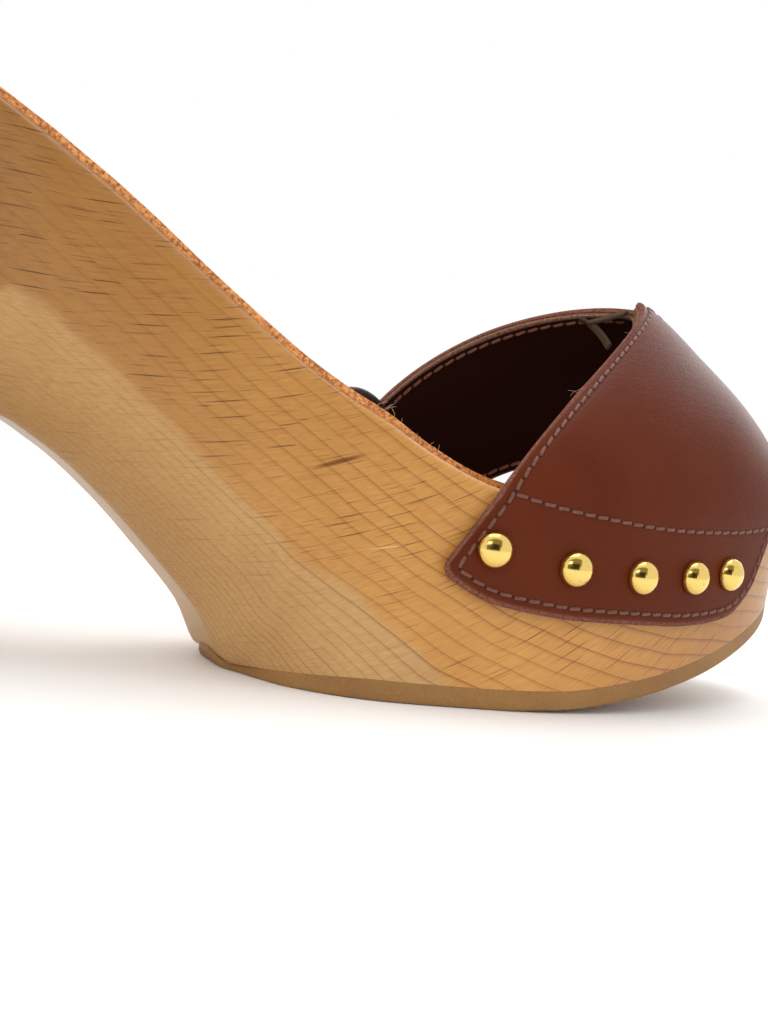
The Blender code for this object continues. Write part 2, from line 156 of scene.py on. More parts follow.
# Rays: cell in millimetres, half size in cells, share of their colour
RAYS = {
    "long flecks": ((13.0, 9.0, 2.4), (0.42, 1.6, 0.07), 0.9),
    "short flecks": ((7.0, 6.0, 1.3), (0.42, 1.6, 0.08), 0.6),
}

# Softboxes, in metres: where, looking at, size, share of the key light
SOFTBOXES = {
    "overhead": ((0.1, 0.2, 1.1), (0.0, 0.0, 0.0), (0.9, 0.9), 1.0),
    "window": ((-0.75, -0.75, 0.55), (0.0, 0.0, 0.05), (0.5, 0.7), 0.55),
    "far": ((0.8, 0.5, 0.5), (0.08, 0.0, 0.06), (0.4, 0.6), 0.35),
}

# Cards, in metres: where, looking at, size, colour
CARDS = {
    "dark_card": ((-0.28, -0.7, 0.22), (0.0, 0.0, 0.05), (1.1, 0.42), "#1A140C"),
    "grey_card": ((-0.4, -1.25, 1.05), (0.0, 0.0, 0.05), (2.6, 1.3), "#8C8270"),
}

SOLE_COLUMNS = "top_x top_z low_x low_z rim low shift belly flare bow dish"
SOLE_ROWS = {
    "heel back": (8, 114.2, 15.0, 5.3, 28.4, 11.5, 0.0, 1.2, 2.2, 4.0, 0.0),
    "heel seat": (17, 111.2, 20.0, 5.3, 28.4, 11.5, 0.0, 1.2, 2.2, 3.0, 1.6),
    "heel middle": (28, 106.4, 27.5, 5.3, 28.4, 11.5, 0.0, 1.2, 2.2, 1.0, 2.4),
    "heel front": (38, 101.4, 37.0, 5.3, 28.4, 11.5, 0.0, 1.25, 2.1, -1.0, 2.2),
    "breast": (42.5, 99.0, 35.8, 20.5, 28.3, 11.0, -0.1, 1.4, 1.9, -1.0, 2.0),
    "breast top": (47, 96.6, 35.0, 36.5, 28.2, 11.0, -0.3, 1.8, 1.5, 0.0, 1.8),
    "arch rear": (52, 93.7, 37.6, 44.6, 28.0, 10.0, -0.5, 2.4, 1.2, 0.0, 1.6),
    "arch top": (58, 90.3, 45.0, 46.2, 27.7, 8.5, -0.8, 3.2, 1.0, 0.0, 1.4),
    "shank": (67, 84.7, 56.2, 41.0, 27.4, 7.5, -1.2, 4.0, 1.0, 0.0, 1.2),
    "waist": (77.5, 77.5, 68.0, 32.4, 27.5, 7.0, -1.8, 4.0, 1.0, 0.0, 1.0),
    "waist front": (89, 69.7, 79.6, 21.9, 28.6, 7.5, -2.4, 4.0, 1.0, 0.0, 0.8),
    "tread rear": (99.5, 62.9, 89.5, 12.0, 30.2, 8.0, -2.8, 4.0, 1.0, 0.0, 0.8),
    "tread turn": (107.5, 58.5, 97.5, 1.6, 31.8, 11.5, -3.0, 4.5, 1.0, 0.0, 0.8),
    "tread": (115.5, 54.8, 106.0, 2.9, 33.6, 25.5, -3.0, 5.0, 1.0, 0.0, 0.8),
    "ball rear": (126, 49.2, 121.0, 4.1, 36.4, 35.3, -2.8, 5.0, 1.0, 0.0, 0.8),
    "ball": (140, 44.3, 139.5, 4.1, 39.2, 38.9, -2.2, 5.0, 1.0, 0.0, 0.8),
    "joint": (158, 42.0, 158.0, 4.5, 41.0, 40.9, -1.3, 5.0, 1.0, 0.0, 0.8),
    "toe rear": (178, 41.2, 178.0, 7.0, 41.0, 40.9, -0.1, 5.0, 1.0, 0.0, 0.8),
    "toes": (200, 42.3, 199.5, 11.8, 41.0, 40.9, 1.4, 5.0, 1.0, 0.0, 0.6),
    "toe": (222, 45.4, 221.3, 19.2, 41.0, 40.9, 2.8, 5.0, 1.0, 0.0, 0.4),
    "toe tip": (242, 50.0, 241.0, 27.4, 41.0, 40.9, 4.2, 5.0, 1.0, 0.0, 0.0),
}

# Small pieces: four points of a Bezier curve, width, thickness
DETAILS = {
    "fold_stem": (
        ((185.5, 13.0, 87.0), (186.2, 12.0, 86.6), (187.0, 11.0, 86.2), (188.0, 9.5, 85.8)),
        2.2,
        0.9,
    ),
    "fold_upper": (
        ((186.8, 10.5, 86.3), (188.3, 7.0, 86.9), (190.0, 4.0, 88.2), (191.5, 1.5, 89.0)),
        3.6,
        1.0,
    ),
    "fold_lower": (
        ((186.8, 10.5, 86.3), (187.2, 7.0, 84.6), (187.4, 3.5, 82.4), (187.0, 0.0, 79.8)),
        2.0,
        1.0,
    ),
    # far_tab is filled solid and dark: a small leather tab with the shade inside its curl painted in.
    "far_tab": (
        ((131.8, 32.0, 57.6), (133.0, 32.0, 62.6), (141.0, 32.5, 63.0), (147.2, 34.0, 55.0)),
        4.0,
        4.0,
    ),
}

OUTER_COLUMNS = "foot_x foot_z rim_x top_x top_y top_z rise reach lean sweep crown"
OUTER_RIBS = {
    "back edge": (128.4, 27.0, 138.6, 194.0, 2.5, 91.3, 15.0, 13.0, 0.45, 0.0, -2.0),
    "heelward": (141.0, 21.6, 147.5, 200.5, 3.5, 88.2, 20.0, 15.0, 0.40, 0.0, 0.0),
    "middle": (162.0, 19.8, 165.5, 209.0, 3.5, 82.4, 24.0, 16.0, 0.30, 0.0, 0.0),
    "toward": (184.0, 19.8, 187.0, 219.0, 1.5, 74.4, 22.0, 15.0, 0.30, 0.0, 0.0),
    "low": (203.0, 22.0, 207.0, 228.0, -2.0, 65.3, 15.0, 11.0, 0.25, 0.0, 0.0),
    "front edge": (212.0, 28.0, 219.5, 236.0, -5.0, 55.0, 8.0, 6.0, 0.20, 0.0, 0.0),
}
INNER_COLUMNS = "foot_x foot_z rim_x rise reach lean sweep crown"
INNER_RIBS = {
    "back edge": (131.0, 27.0, 137.0, 36.0, 22.0, 0.40, -8.0, 2.5),
    "heelward": (138.0, 22.0, 143.0, 33.0, 21.0, 0.42, -4.0, 1.0),
    "middle": (150.0, 20.5, 153.0, 30.0, 20.0, 0.50, -1.0, 0.5),
    "toward": (163.0, 20.4, 165.0, 26.0, 19.0, 0.65, 0.0, 1.0),
    "front edge": (175.0, 22.0, 176.5, 24.0, 18.0, 0.90, 0.0, 3.0),
}


class Table:
    """Named columns read along the rows by a smooth curve that does not overshoot: a cubic
    Hermite curve whose slope at a row is the harmonic mean of the steps on its two sides."""

    def __init__(self, columns, rows):
        self.names = columns.split()
        self.values = np.array(list(rows.values()), float)
        steps = np.diff(self.values, axis=0)
        before, after = steps[:-1], steps[1:]
        same = before * after > 0
        total = np.where(same, before + after, 1.0)
        inner = np.where(same, 2.0 * before * after / total, 0.0)
        self.slopes = np.vstack([steps[:1], inner, steps[-1:]])
        self.last = len(self.values) - 1
        self.places = np.linspace(0.0, self.last, 8001)
        self.fine = self.at(self.places)

    def at(self, place):
        place = np.clip(np.asarray(place, float), 0.0, self.last)
        row = np.minimum(place.astype(int), self.last - 1)
        t = (place - row)[..., None]
        mixed = (
            self.values[row] * (2 * t**3 - 3 * t**2 + 1)
            + self.slopes[row] * (t**3 - 2 * t**2 + t)
            + self.values[row + 1] * (3 * t**2 - 2 * t**3)
            + self.slopes[row + 1] * (t**3 - t**2)
        )
        return {name: mixed[..., i] for i, name in enumerate(self.names)}

    def where(self, name, value, first=0.0):
        """The place, from first on, where a rising column reaches a value."""
        since = self.places.searchsorted(first)
        return np.interp(value, self.fine[name][since:], self.places[since:])


SOLE = Table(SOLE_COLUMNS, SOLE_ROWS)
HEEL_FRONT = list(SOLE_ROWS).index("heel front")
ARCH_TOP = list(SOLE_ROWS).index("arch top")


def to_row(points):
    return (np.asarray(points, float) - ORIGIN) * MM


def unit(vectors):
    return vectors / np.maximum(np.linalg.norm(vectors, axis=-1, keepdims=True), 1e-12)


def smooth(value, low, high):
    """Smooth step: 0 below low, 1 above high, 3t^2 - 2t^3 between them."""
    t = np.clip((value - low) / (high - low), 0.0, 1.0)
    return t * t * (3.0 - 2.0 * t)


def rounding(distance, radius, power=2.0):
    """Factor (1 - (1 - distance/radius)^power)^0.5 of a width that closes to nothing at 0."""
    short = np.clip((radius - distance) / radius, 0.0, 1.0)
    return np.sqrt(1.0 - short**power)


class Stations:
    """Slanting sections of the sole at an array of places: half width at t, 0 at the footbed
    and 1 underneath, is flat + (rim - flat) (1 - t^belly)^flare."""

    def __init__(self, place):
        place = np.asarray(place, float)
        row = SOLE.at(place)
        self.row = row
        ends, starts = sole_row("toe tip"), sole_row("heel back")
        self.top = np.stack([row["top_x"], row["shift"], row["top_z"]], -1)
        self.low = np.stack([row["low_x"], row["shift"], row["low_z"]], -1)
        toe_top = rounding(TOE_X - row["top_x"], TOE_X - TOE_START, TOE_POWER)
        toe_low = rounding(ends["low_x"] - row["low_x"], ends["low_x"] - TOE_START, TOE_POWER)
        tip = rounding(row["low_x"] - starts["low_x"], TIP_ROUND)
        self.rim = row["rim"] * rounding(row["top_x"] - HEEL_X, HEEL_ROUND) * toe_top
        self.flat = row["low"] * np.where(place < HEEL_FRONT, tip, toe_low)
        self.height = np.linalg.norm(self.top - self.low, axis=-1)
        self.down = (self.low - self.top) / self.height[..., None]
        zero = np.zeros_like(self.height)
        self.forward = np.stack([-self.down[..., 2], zero, self.down[..., 0]], -1)

    def half_width(self, t):
        bend = (1.0 - t ** self.row["belly"]) ** self.row["flare"]
        return self.flat + (self.rim - self.flat) * bend

    def side(self, t, across):
        """Point on the side, across = -1 lateral or 1 medial, hollowed by 4 bow t (1 - t)."""
        hollow = self.forward * (self.row["bow"] * 4.0 * t * (1.0 - t))[..., None]
        point = self.top + (self.low - self.top) * np.asarray(t)[..., None] + hollow
        point[..., 1] += across * self.half_width(t)
        return point

    def footbed(self, share, lift, margin):
        """Point of the footbed, share = -1 to 1 across it, with the dish 1 - share^2."""
        half = np.maximum(self.rim - margin, 0.0)
        dish = self.row["dish"] * (1.0 - share**2)
        point = self.top + self.down * np.asarray(dish - lift)[..., None]
        point[..., 1] += share * half
        return point

    def under(self, across, drop):
        """Point of the underside, across in millimetres from its middle line."""
        across, drop = np.broadcast_arrays(across, drop)
        point = self.low + self.down * drop[..., None]
        point[..., 1] += across
        return point


def wall_point(x, z, across, off):
    """Point beside the sole's side at x and z, off millimetres clear of the wood."""
    x = np.asarray(x, float)
    at = Stations(SOLE.where("top_x", x))
    top = np.zeros_like(x)
    ahead = Stations(SOLE.where("top_x", np.minimum(x + 1.0, TOE_X - 0.5))).side(top, across)
    behind = Stations(SOLE.where("top_x", x - 1.0)).side(top, across)
    widening = (ahead[..., 1] - behind[..., 1]) / 2.0
    normal = np.stack([-widening, np.ones_like(x), np.zeros_like(x)], -1) * across
    normal /= np.hypot(widening, 1.0)[..., None]
    t = np.clip((at.top[..., 2] - z) / at.height, 0.0, 1.0)
    y = at.side(t, across)[..., 1]
    return np.stack([x, y, np.broadcast_to(z, x.shape)], -1) + normal * off


def bezier(a, b, c, d, t):
    """Cubic Bezier curve a(1-t)^3 + 3bt(1-t)^2 + 3ct^2(1-t) + dt^3."""
    t = np.asarray(t)[..., None]
    return a * (1 - t) ** 3 + b * 3 * t * (1 - t) ** 2 + c * 3 * t**2 * (1 - t) + d * t**3


class Panel:
    """A leather panel as a surface of (place, share): place runs over its ribs from the back
    edge to the front edge, share climbs the sole's side for the first quarter and then follows
    the arch up to the ridge."""

    leg_share = 0.25
    seam_share = 0.26
    off = FIT_GAP + LEATHER / 2
    turn = 1.0
    blend = 0.02

    def __init__(self, columns, ribs, across):
        self.table = Table(columns, ribs)
        self.across = across
        self.last = self.table.last

    def leg(self, place, share):
        row = self.table.at(place)
        edge_z = SOLE.at(SOLE.where("top_x", row["rim_x"]))["top_z"] - 1.0
        x = row["foot_x"] + (row["rim_x"] - row["foot_x"]) * share
        z = row["foot_z"] + (edge_z - row["foot_z"]) * share
        return wall_point(x, z, self.across, self.off)

    def top(self, place):
        row = self.table.at(place)
        return np.stack([row["top_x"], row["top_y"], row["top_z"]], -1)

    def arch(self, place, share):
        row = self.table.at(place)
        edge, top = self.leg(place, np.ones_like(row["lean"])), self.top(place)
        up = np.stack([row["lean"], 0.0 * row["lean"], 1.0 + 0.0 * row["lean"]], -1)
        up /= np.hypot(row["lean"], 1.0)[..., None]
        reach = np.stack([row["sweep"], self.across * row["reach"], row["crown"]], -1)
        return bezier(edge, edge + up * row["rise"][..., None], top + reach, top, share)

    def plain(self, place, share):
        """The rib without the easing where the leather leaves the wood."""
        low = self.leg(place, np.clip(share / self.leg_share, 0.0, 1.0))
        high = self.arch(place, np.clip((share - self.leg_share) / (1 - self.leg_share), 0.0, 1.0))
        return np.where((share < self.leg_share)[..., None], low, high)

    def middle(self, place, share):
        """Mean of three points of the rib, blend apart, so that the bend is soft."""
        step = np.minimum(self.blend, np.minimum(share, 1.0 - share))
        ends = self.plain(place, share - step) + self.plain(place, share + step)
        return 0.25 * ends + 0.5 * self.plain(place, share)

    def surface(self, place, share, off=0.0):
        """Points off millimetres outside the middle of the leather, with their normals."""
        place, share = np.broadcast_arrays(np.asarray(place, float), np.asarray(share, float))
        h = 0.004
        one = self.middle(np.clip(place + h * self.last, 0, self.last), share)
        two = self.middle(np.clip(place - h * self.last, 0, self.last), share)
        up = self.middle(place, np.clip(share + h, 0, 1)) - self.middle(place, np.clip(share - h, 0, 1))
        normal = unit(np.cross(one - two, up)) * self.turn
        return self.middle(place, share) + normal * np.asarray(off)[..., None], normal


class InnerPanel(Panel):
    """The panel whose ribs run on under the outer panel, behind its ridge edge."""

    leg_share = 0.22
    seam_share = 0.235
    arch_share = 0.84
    turn = -1.0
    inset = 0.07

    def __init__(self, columns, ribs, across, outer):
        super().__init__(columns, ribs, across)
        self.outer = outer

    def under_outer(self, place, share):
        """Point of this panel pressed against the inside of the outer one."""
        at = self.inset + (self.outer.last - 2.0 * self.inset) * place / self.last
        along = self.outer.arch(at, share) - self.outer.arch(at, share - 0.02)
        across = self.outer.arch(at + 0.05, share) - self.outer.arch(at - 0.05, share)
        normal = unit(np.cross(across, along))
        normal *= np.sign(normal[..., 2:3])
        return self.outer.arch(at, share) - normal * (LEATHER - LAP_PRESS)

    def top(self, place):
        return self.under_outer(place, np.ones_like(np.asarray(place, float)))

    def plain(self, place, share):
        low = self.leg(place, np.clip(share / self.leg_share, 0.0, 1.0))
        span = self.arch_share - self.leg_share
        high = self.arch(place, np.clip((share - self.leg_share) / span, 0.0, 1.0))
        back = np.clip((share - self.arch_share) / (1.0 - self.arch_share), 0.0, 1.0)
        lap = self.under_outer(place, 1.0 - LAP_SHARE * back)
        joined = np.where((share < self.leg_share)[..., None], low, high)
        return np.where((share > self.arch_share)[..., None], lap, joined)


OUTER = Panel(OUTER_COLUMNS, OUTER_RIBS, -1.0)
INNER = InnerPanel(INNER_COLUMNS, INNER_RIBS, 1.0, OUTER)


def sole_row(name):
    """The values of one row of the sole's table."""
    return dict(zip(SOLE_COLUMNS.split(), SOLE_ROWS[name]))


def arc_length(points):
    """Length run along a line of points, from 0 at the first."""
    return np.concatenate([[0.0], np.cumsum(np.linalg.norm(np.diff(points, axis=0), axis=-1))])


def linear(text):
    """Linear RGBA of an sRGB hex colour."""
    parts = np.array([int(text[i : i + 2], 16) for i in (1, 3, 5)]) / 255.0
    value = np.where(parts > 0.04045, ((parts + 0.055) / 1.055) ** 2.4, parts / 12.92)
    return (*value, 1.0)


def wire(tree, label, kind, settings=None, **sockets):
    """Adds a node. A socket is named in full, or n and its number; its value is set, or linked
    where it is another node's output."""
    made = tree.nodes.new(kind)
    made.label = label
    for name, value in (settings or {}).items():
        setattr(made, name, value)
    for name, value in sockets.items():
        key = int(name[1:]) if name[0] == "n" and name[1:].isdigit() else name.replace("_", " ")
        if isinstance(value, bpy.types.NodeSocket):
            tree.links.new(value, made.inputs[key])
        else:
            made.inputs[key].default_value = value
    return made


def linear_of(colour):
    """A colour property is already linear; the fourth value is opacity."""
    return (*colour[:3], 1.0)


def number(tree, label, operation, *values):
    """Output of a Math node on one to three numbers."""
    sockets = {f"n{i}": value for i, value in enumerate(values)}
    return wire(tree, label, "ShaderNodeMath", {"operation": operation}, **sockets).outputs[0]


def times(tree, label, one, two):
    return number(tree, label, "MULTIPLY", one, two)


def vector(tree, label, operation, one, two=None):
    """Output of a Vector Math node; two is a number where the operation is SCALE."""
    sockets = {} if two is None else {"Scale" if operation == "SCALE" else "n1": two}
    made = wire(tree, label, "ShaderNodeVectorMath", {"operation": operation}, n0=one, **sockets)
    return made.outputs["Value" if operation in ("DOT_PRODUCT", "DISTANCE", "LENGTH") else "Vector"]


def span(tree, label, value, low, high, start=0.0, end=1.0, kind="LINEAR"):
    """A value from the range low to high, carried into the range start to end and kept in it."""
    settings = {"interpolation_type": kind}
    made = wire(tree, label, "ShaderNodeMapRange", settings, n0=value, n1=low, n2=high, n3=start, n4=end)
    return made.outputs[0]


def noise(tree, label, place, scale, detail=2.0, **more):
    """Noise from 0 to 1 around 0.5, with scale patches to the unit of place."""
    sockets = {"Vector": place, "Scale": scale, "Detail": detail, **more}
    return wire(tree, label, "ShaderNodeTexNoise", **sockets).outputs[0]


def object_place(tree):
    """Object coordinates, in metres."""
    return wire(tree, "object place", "ShaderNodeTexCoord").outputs["Object"]


def mark(tree, label, name):
    """A mesh attribute of one number a point."""
    return wire(tree, label, "ShaderNodeAttribute", {"attribute_name": name}).outputs["Fac"]


def blend(tree, label, share, one, two):
    """Mix of two colours, from one at share 0 to two at share 1."""
    return wire(tree, label, "ShaderNodeMix", {"data_type": "RGBA"}, n0=share, n6=one, n7=two).outputs[2]


def darken(tree, label, share, base, colour):
    """Base multiplied by a colour, as far as share says."""
    settings = {"data_type": "RGBA", "blend_type": "MULTIPLY"}
    return wire(tree, label, "ShaderNodeMix", settings, n0=share, n6=base, n7=linear(colour)).outputs[2]


def between(tree, label, share, one, two):
    """Mix of two numbers, from one at share 0 to two at share 1."""
    return wire(tree, label, "ShaderNodeMix", n0=share, n2=one, n3=two).outputs[0]


def relief(tree, label, shader, height, strength, depth=BUMP_DEPTH, inward=False):
    """Bump of a shader from a height of 0 to 1, depth being in metres."""
    sockets = {"Strength": strength, "Distance": depth, "Height": height}
    made = wire(tree, label, "ShaderNodeBump", {"invert": inward}, **sockets)
    tree.links.new(made.outputs[0], shader.inputs["Normal"])


def set_ramp(node, stops):
    """Grey stops of a colour ramp, as (position, value)."""
    ramp = node.color_ramp
    while len(ramp.elements) > 1:
        ramp.elements.remove(ramp.elements[-1])
    ramp.elements[0].position = stops[0][0]
    ramp.elements[0].color = (stops[0][1],) * 3 + (1.0,)
    for position, value in stops[1:]:
        ramp.elements.new(position).color = (value,) * 3 + (1.0,)


def new_material(name):
    """A new material, with its node tree and its shader."""
    made = bpy.data.materials.new(name)
    made.use_nodes = True
    return made, made.node_tree, made.node_tree.nodes["Principled BSDF"]


def put(name, data):
    """A new object in the scene."""
    made = bpy.data.objects.new(name, data)
    bpy.context.scene.collection.objects.link(made)
    return made


def grid_faces(rows, columns, wrap=False):
    """Quads of a grid of points, closed round its columns if wrap is true."""
    index = np.arange(rows * columns).reshape(rows, columns)
    if wrap:
        index = np.hstack([index, index[:, :1]])
    corners = index[:-1, :-1], index[:-1, 1:], index[1:, 1:], index[1:, :-1]
    return np.stack(corners, -1).reshape(-1, 4)


def many_faces(count, rows, columns):
    """Quads of count equal forms, one after another, each a grid closed round its columns."""
    one = grid_faces(rows, columns, wrap=True)
    return (one[None] + (np.arange(count) * rows * columns)[:, None, None]).reshape(-1, 4)


def add_piece(name, points, faces, material, slot, nodes=(), attributes=None):
    """One piece of the sandal from points in millimetres: doubles merged, faces outward,
    shaded smooth but for edges sharper than SHARP. It stands for the CAD nodes named."""
    mesh = bpy.data.meshes.new(name)
    mesh.from_pydata(to_row(points).tolist(), [], np.asarray(faces).tolist())
    for key, values in (attributes or {}).items():
        layer = mesh.attributes.new(key, "FLOAT", "POINT")
        layer.data.foreach_set("value", np.asarray(values, np.float32).ravel())
    body = bmesh.new()
    body.from_mesh(mesh)
    bmesh.ops.remove_doubles(body, verts=body.verts, dist=0.002 * MM)
    bmesh.ops.dissolve_degenerate(body, edges=body.edges, dist=0.0005 * MM)
    bmesh.ops.recalc_face_normals(body, faces=body.faces)
    body.to_mesh(mesh)
    body.free()
    mesh.shade_smooth()
    mesh.set_sharp_from_angle(angle=SHARP)
    mesh.materials.append(material)
    made = put(name, mesh)
    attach(made, "root")
    if nodes:
        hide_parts(*nodes)
    return made


def add_rings(name, ring, material, slot, nodes=(), attributes=None):
    """A piece from rings of points, one ring a row."""
    faces = grid_faces(*ring.shape[:2], wrap=True)
    return add_piece(name, ring.reshape(-1, 3), faces, material, slot, nodes, attributes)


def tubes(paths, radii, normals, sides):
    """Round threads: paths (count, steps, 3) with a radius at each step and a normal that turns
    the first side. Ring points are path + r (n cos a + b sin a), b being tangent x normal."""
    tangent = unit(np.gradient(paths, axis=1))
    side = unit(np.cross(tangent, normals))
    normal = np.cross(side, tangent)
    turn = np.linspace(0.0, 2.0 * np.pi, sides, endpoint=False)
    ring = normal[:, :, None] * np.cos(turn)[:, None] + side[:, :, None] * np.sin(turn)[:, None]
    points = paths[:, :, None] + ring * radii[:, :, None, None]
    return points.reshape(-1, 3), many_faces(*paths.shape[:2], sides)


def close_ends(ring):
    """Adds a ring shrunk to its middle before the first ring and after the last one, so that a
    hollow form ends in a fan instead of a hole. Marks of one value a point close the same way."""
    first, last = (np.broadcast_to(end.mean(0), end.shape) for end in (ring[0], ring[-1]))
    return np.concatenate([first[None], ring, last[None]])


def join_halves(halves):
    """Rings from their medial and lateral halves, which both run from the middle of the top to
    the middle underneath: the second is walked back without its ends."""
    return np.concatenate([halves[0], halves[1][:, -2:0:-1]], 1)


# Beech sole


def sole_places():
    """Places along the sole, closer where the outline rounds off at the heel and the toe."""
    heel = HEEL_X + HEEL_STRETCH * np.linspace(0.0, 1.0, 44) ** 2
    middle = np.linspace(HEEL_X + HEEL_STRETCH, TOE_BEND, 110)[1:-1]
    toe = TOE_X - (TOE_X - TOE_BEND) * np.linspace(1.0, 0.0, 52) ** 2
    return SOLE.where("top_x", np.concatenate([heel, middle, toe]))


def facet_start(top_x):
    """Share t down the side where the paler facet of the arch begins, by the place above it."""
    return np.interp(top_x, *np.transpose(FACET))


def ring_count(points, half, shift):
    """Growth rings passed: RINGS_PER_MM (z + h) - max(0, y + half) / FACET_RING, half being the
    half width where the facet begins. h is RING_SLOPE x; between the two x of RING_EASE_X it
    loses RING_EASE (x - first)^2, and beyond them it gains only RING_TOE_SLOPE (x - second), so
    the lines ease toward the level at the toe."""
    x, y, z = points[..., 0], points[..., 1] - shift, points[..., 2]
    first, second = RING_EASE_X
    eased = RING_EASE * np.clip(x - first, 0.0, second - first) ** 2
    beyond = RING_TOE_SLOPE * np.maximum(x - second, 0.0)
    rise = RING_SLOPE * np.minimum(x, second) - eased + beyond
    return RINGS_PER_MM * (z + rise) - np.maximum(y + half, 0.0) / FACET_RING


def sole_points():
    """Rings of the sole: footbed, rim as a quarter ellipse, side, facet, underside; the medial
    half first and then its mirror image. With them the mark of the facet and the ring count."""
    st = Stations(sole_places()[:, None])
    rim_t = np.minimum(RIM_ROUND / st.height, 0.2)
    inset = np.minimum(RIM_ROUND, st.rim * 0.5)
    shares = np.linspace(0.0, 1.0, 8)
    turn = np.radians(np.linspace(0.0, 90.0, 9))[1:-1]
    start = np.minimum(facet_start(st.row["top_x"]), 0.93)
    climb = np.linspace(0.0, 1.0, 27)
    wall_t = np.hstack([rim_t + (start - rim_t) * climb, start + (1.0 - start) * climb[None, 1:]])
    strength = smooth(st.row["top_x"], 38.0, 47.0)
    halves = []
    marks = []
    for across in (1.0, -1.0):
        bed = st.footbed(across * shares[None], np.zeros((1, 1)), inset)
        arc_t = rim_t * (1.0 - np.cos(turn))
        arc = st.side(arc_t, across)
        arc[..., 1] -= across * inset * (1.0 - np.sin(turn))
        wall = st.side(wall_t, across)
        base = st.under(across * st.flat * np.linspace(1.0, 0.0, 6)[None, 1:], np.zeros((1, 1)))
        halves.append(np.concatenate([bed, arc, wall, base], 1))
        pale = smooth(wall_t - facet_start(st.row["top_x"]), -0.012, 0.05) * strength
        plain = np.zeros_like(bed[..., 0]), np.zeros_like(arc_t)
        marks.append(np.hstack([*plain, pale, np.ones_like(base[..., 0]) * strength]))
    ring = join_halves(halves)
    return ring, join_halves(marks), ring_count(ring, st.half_width(start), st.row["shift"])


def spot(tree, label, place):
    """1 in the middle of a ball of radius 1 and 0 outside it: smooth step of the radius, from 1
    down to 0.3."""
    away = vector(tree, label, "LENGTH", place)
    return span(tree, label, away, 0.3, 1.0, 1.0, 0.0, "SMOOTHSTEP")


def spindle(tree, label, mm, middle, end, thick):
    """A spot drawn out from its middle to its end and thick millimetres beside that line:
    its place is (along / half length, beside / thick)."""
    reach = np.array(end) - np.array(middle)
    half = float(np.linalg.norm(reach))
    way = tuple(reach / half)
    here = vector(tree, label, "SUBTRACT", mm, middle)
    along = vector(tree, label, "DOT_PRODUCT", here, way)
    beside = vector(tree, label, "DISTANCE", here, vector(tree, label, "SCALE", way, along))
    one = number(tree, label, "DIVIDE", along, half)
    two = number(tree, label, "DIVIDE", beside, thick)
    return spot(tree, label, wire(tree, label, "ShaderNodeCombineXYZ", n0=one, n1=two).outputs[0])


def ring_lines(tree, x, drift):
    """Late wood: one thin line a ring, from the attribute ring, some rings stronger than others
    and all of them fainter toward the heel."""
    rings = mark(tree, "rings", "ring")
    ring_drift = bpy.context.scene.sandal_wood.ring_drift
    count = number(tree, "drifted rings", "MULTIPLY_ADD", drift, ring_drift, rings)
    part = number(tree, "part of a ring", "FRACT", count)
    line = wire(tree, "late wood line", "ShaderNodeValToRGB", Fac=part)
    set_ramp(line, LATE_WOOD)
    whole = number(tree, "ring number", "FLOOR", count)
    odds = wire(tree, "odds of a ring", "ShaderNodeTexWhiteNoise", {"noise_dimensions": "1D"}, W=whole)
    strength = span(tree, "ring strength", odds.outputs["Value"], 0.0, 1.0, 0.35, 1.0)
    toward = span(tree, "toward the toe", x, -70.0, 10.0, 0.3, 1.0)
    return times(tree, "line toward the toe", times(tree, "line", line.outputs[0], strength), toward)


def bowed_grain(tree, x, y, z, drift):
    """Place along the grain: level at GRAIN_X and GRAIN_BOW (x - GRAIN_X)^2 higher away from it,
    with a slow drift of GRAIN_DRIFT millimetres."""
    away = number(tree, "grain x", "ADD", x, ORIGIN[0] - GRAIN_X)
    bow = number(tree, "grain x squared", "POWER", away, 2.0)
    level = number(tree, "grain level", "MULTIPLY_ADD", bow, -GRAIN_BOW, z)
    level = number(tree, "grain drift", "MULTIPLY_ADD", drift, GRAIN_DRIFT, level)
    return wire(tree, "grain place", "ShaderNodeCombineXYZ", n0=x, n1=y, n2=level).outputs[0]


def ray_flecks(tree, label, grain, cell, size):
    """Rays as thin spots, at most one a cell, fading to none in a quarter of the cells."""
    cells = vector(tree, label, "DIVIDE", grain, cell)
    spots = wire(tree, label, "ShaderNodeTexVoronoi", {"feature": "F1"}, Vector=cells, Scale=1.0)
    away = vector(tree, label, "SUBTRACT", cells, spots.outputs["Position"])
    shape = spot(tree, label, vector(tree, label, "DIVIDE", away, size))
    chance = wire(tree, label, "ShaderNodeSeparateColor", n0=spots.outputs["Color"]).outputs[0]
    return times(tree, label, shape, span(tree, label, chance, 0.25, 0.7))


